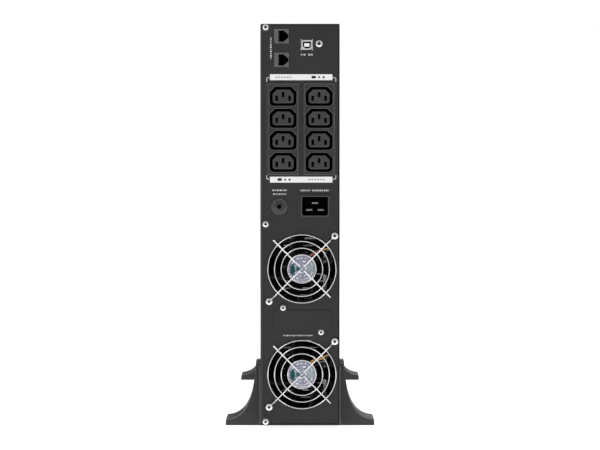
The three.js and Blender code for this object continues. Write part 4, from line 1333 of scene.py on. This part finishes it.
# ---- battery drawer
refined("battery_tray", STEEL, "battery_drawer", 0.2)
for i in range(1, 7):
    node = f"battery_{i}"
    low, high = box_mm(node)
    wall = low.x + 1.8
    case = brick(bmesh.new(), (wall + 5, high.x), (low.y, high.y), (low.z, high.z), 1.2, 3)
    piece(f"{node}_case", case, BATTERY, [node], "battery_drawer")
    ys, zs = (low.y + 0.5, high.y - 0.5), (low.z + 0.5, high.z - 0.5)
    lid = brick(bmesh.new(), (wall, wall + 5.4), ys, zs, 1.0, 3)
    for k in range(6):
        z = low.z + 24 + k * (high.z - low.z - 48) / 5
        brick(lid, (wall - 0.5, wall + 0.2), (low.y + 40, low.y + 52), about(z, 6), 0.3)
    piece(f"{node}_lid", lid, BATTERY_LID, body="battery_drawer")
    posts = bmesh.new()
    for z in (low.z + 20, high.z - 20):
        brick(posts, (low.x, wall + 0.4), (low.y + 6, low.y + 12), about(z, 3), 0.3)
    piece(f"{node}_posts", posts, TIN, body="battery_drawer")


# ---- electronics
refined("main_board", CIRCUIT, bevel=0.2)
refined("comms_board", CIRCUIT, bevel=0.2)
for which in FANS:
    refined(f"heatsink_{which}", ALUMINIUM, bevel=0.3)
refined("transformer", COPPER, bevel=0.8)


# ---- camera, floor and light
CAMERA_DISTANCE = 1.6706  # behind the rear flange
CAMERA_HEIGHT = 0.2416
camera_data = bpy.data.cameras.new("camera")
camera_data.lens = 91.9
camera_data.sensor_width = 36.0
camera_data.shift_y = -0.0287
camera = bpy.data.objects.new("camera", camera_data)
camera.location = (0, FLANGE * MM - CAMERA_DISTANCE, CAMERA_HEIGHT)
camera.rotation_euler = (math.pi / 2, 0, 0)
scene.collection.objects.link(camera)
scene.camera = camera


def floor():
    bm = bmesh.new()
    bmesh.ops.create_grid(bm, x_segments=24, y_segments=24, size=14)
    mesh = bpy.data.meshes.new("floor")
    bm.to_mesh(mesh)
    bm.free()
    made = bpy.data.objects.new("floor", mesh)
    look = Finish("floor_paper", Specular_IOR_Level=0.0, Emission_Strength=0.88)
    look.fill(look.surface, {"Emission Color": (1, 1, 1, 1)})
    look.look(look.ramp(look.noise(3, 2), [(0.3, grey(0.93)), (0.7, grey(0.96))]), 0.9)
    mesh.materials.append(look.material)
    scene.collection.objects.link(made)


def area_light(name, place, target, size, power):
    data = bpy.data.lights.new(name, "AREA")
    data.shape = "RECTANGLE"
    data.size, data.size_y = size
    data.energy = power
    light = bpy.data.objects.new(name, data)
    light.location = place
    light.rotation_euler = (Vector(target) - Vector(place)).to_track_quat("-Z", "Y").to_euler()
    scene.collection.objects.link(light)


floor()
CENTRE = (0, -0.1, 0.22)
AMBIENT = 0.22
area_light("upper_left", (-1.5, -1.9, 1.75), CENTRE, (1.0, 1.0), 15)
area_light("upper_right", (1.5, -1.9, 1.75), CENTRE, (1.0, 1.0), 13)
area_light("top", (0.1, 0.3, 2.3), CENTRE, (1.8, 1.8), 7)
area_light("back", (0.5, 2.3, 1.2), CENTRE, (1.8, 1.2), 9)


def studio():
    """A white backdrop that lights the object only faintly."""
    world = bpy.data.worlds.new("studio")
    world.use_nodes = True
    nodes, links = world.node_tree.nodes, world.node_tree.links
    backdrop = nodes["Background"]
    ambient = nodes.new("ShaderNodeBackground")
    for light, strength in ((backdrop, 1.0), (ambient, AMBIENT)):
        light.inputs["Color"].default_value = (1, 1, 1, 1)
        light.inputs["Strength"].default_value = strength
    seen = nodes.new("ShaderNodeLightPath")
    either = nodes.new("ShaderNodeMixShader")
    links.new(seen.outputs["Is Camera Ray"], either.inputs[0])
    links.new(ambient.outputs[0], either.inputs[1])
    links.new(backdrop.outputs[0], either.inputs[2])
    links.new(either.outputs[0], nodes["World Output"].inputs["Surface"])
    scene.world = world


studio()
scene.view_settings.view_transform = "Standard"
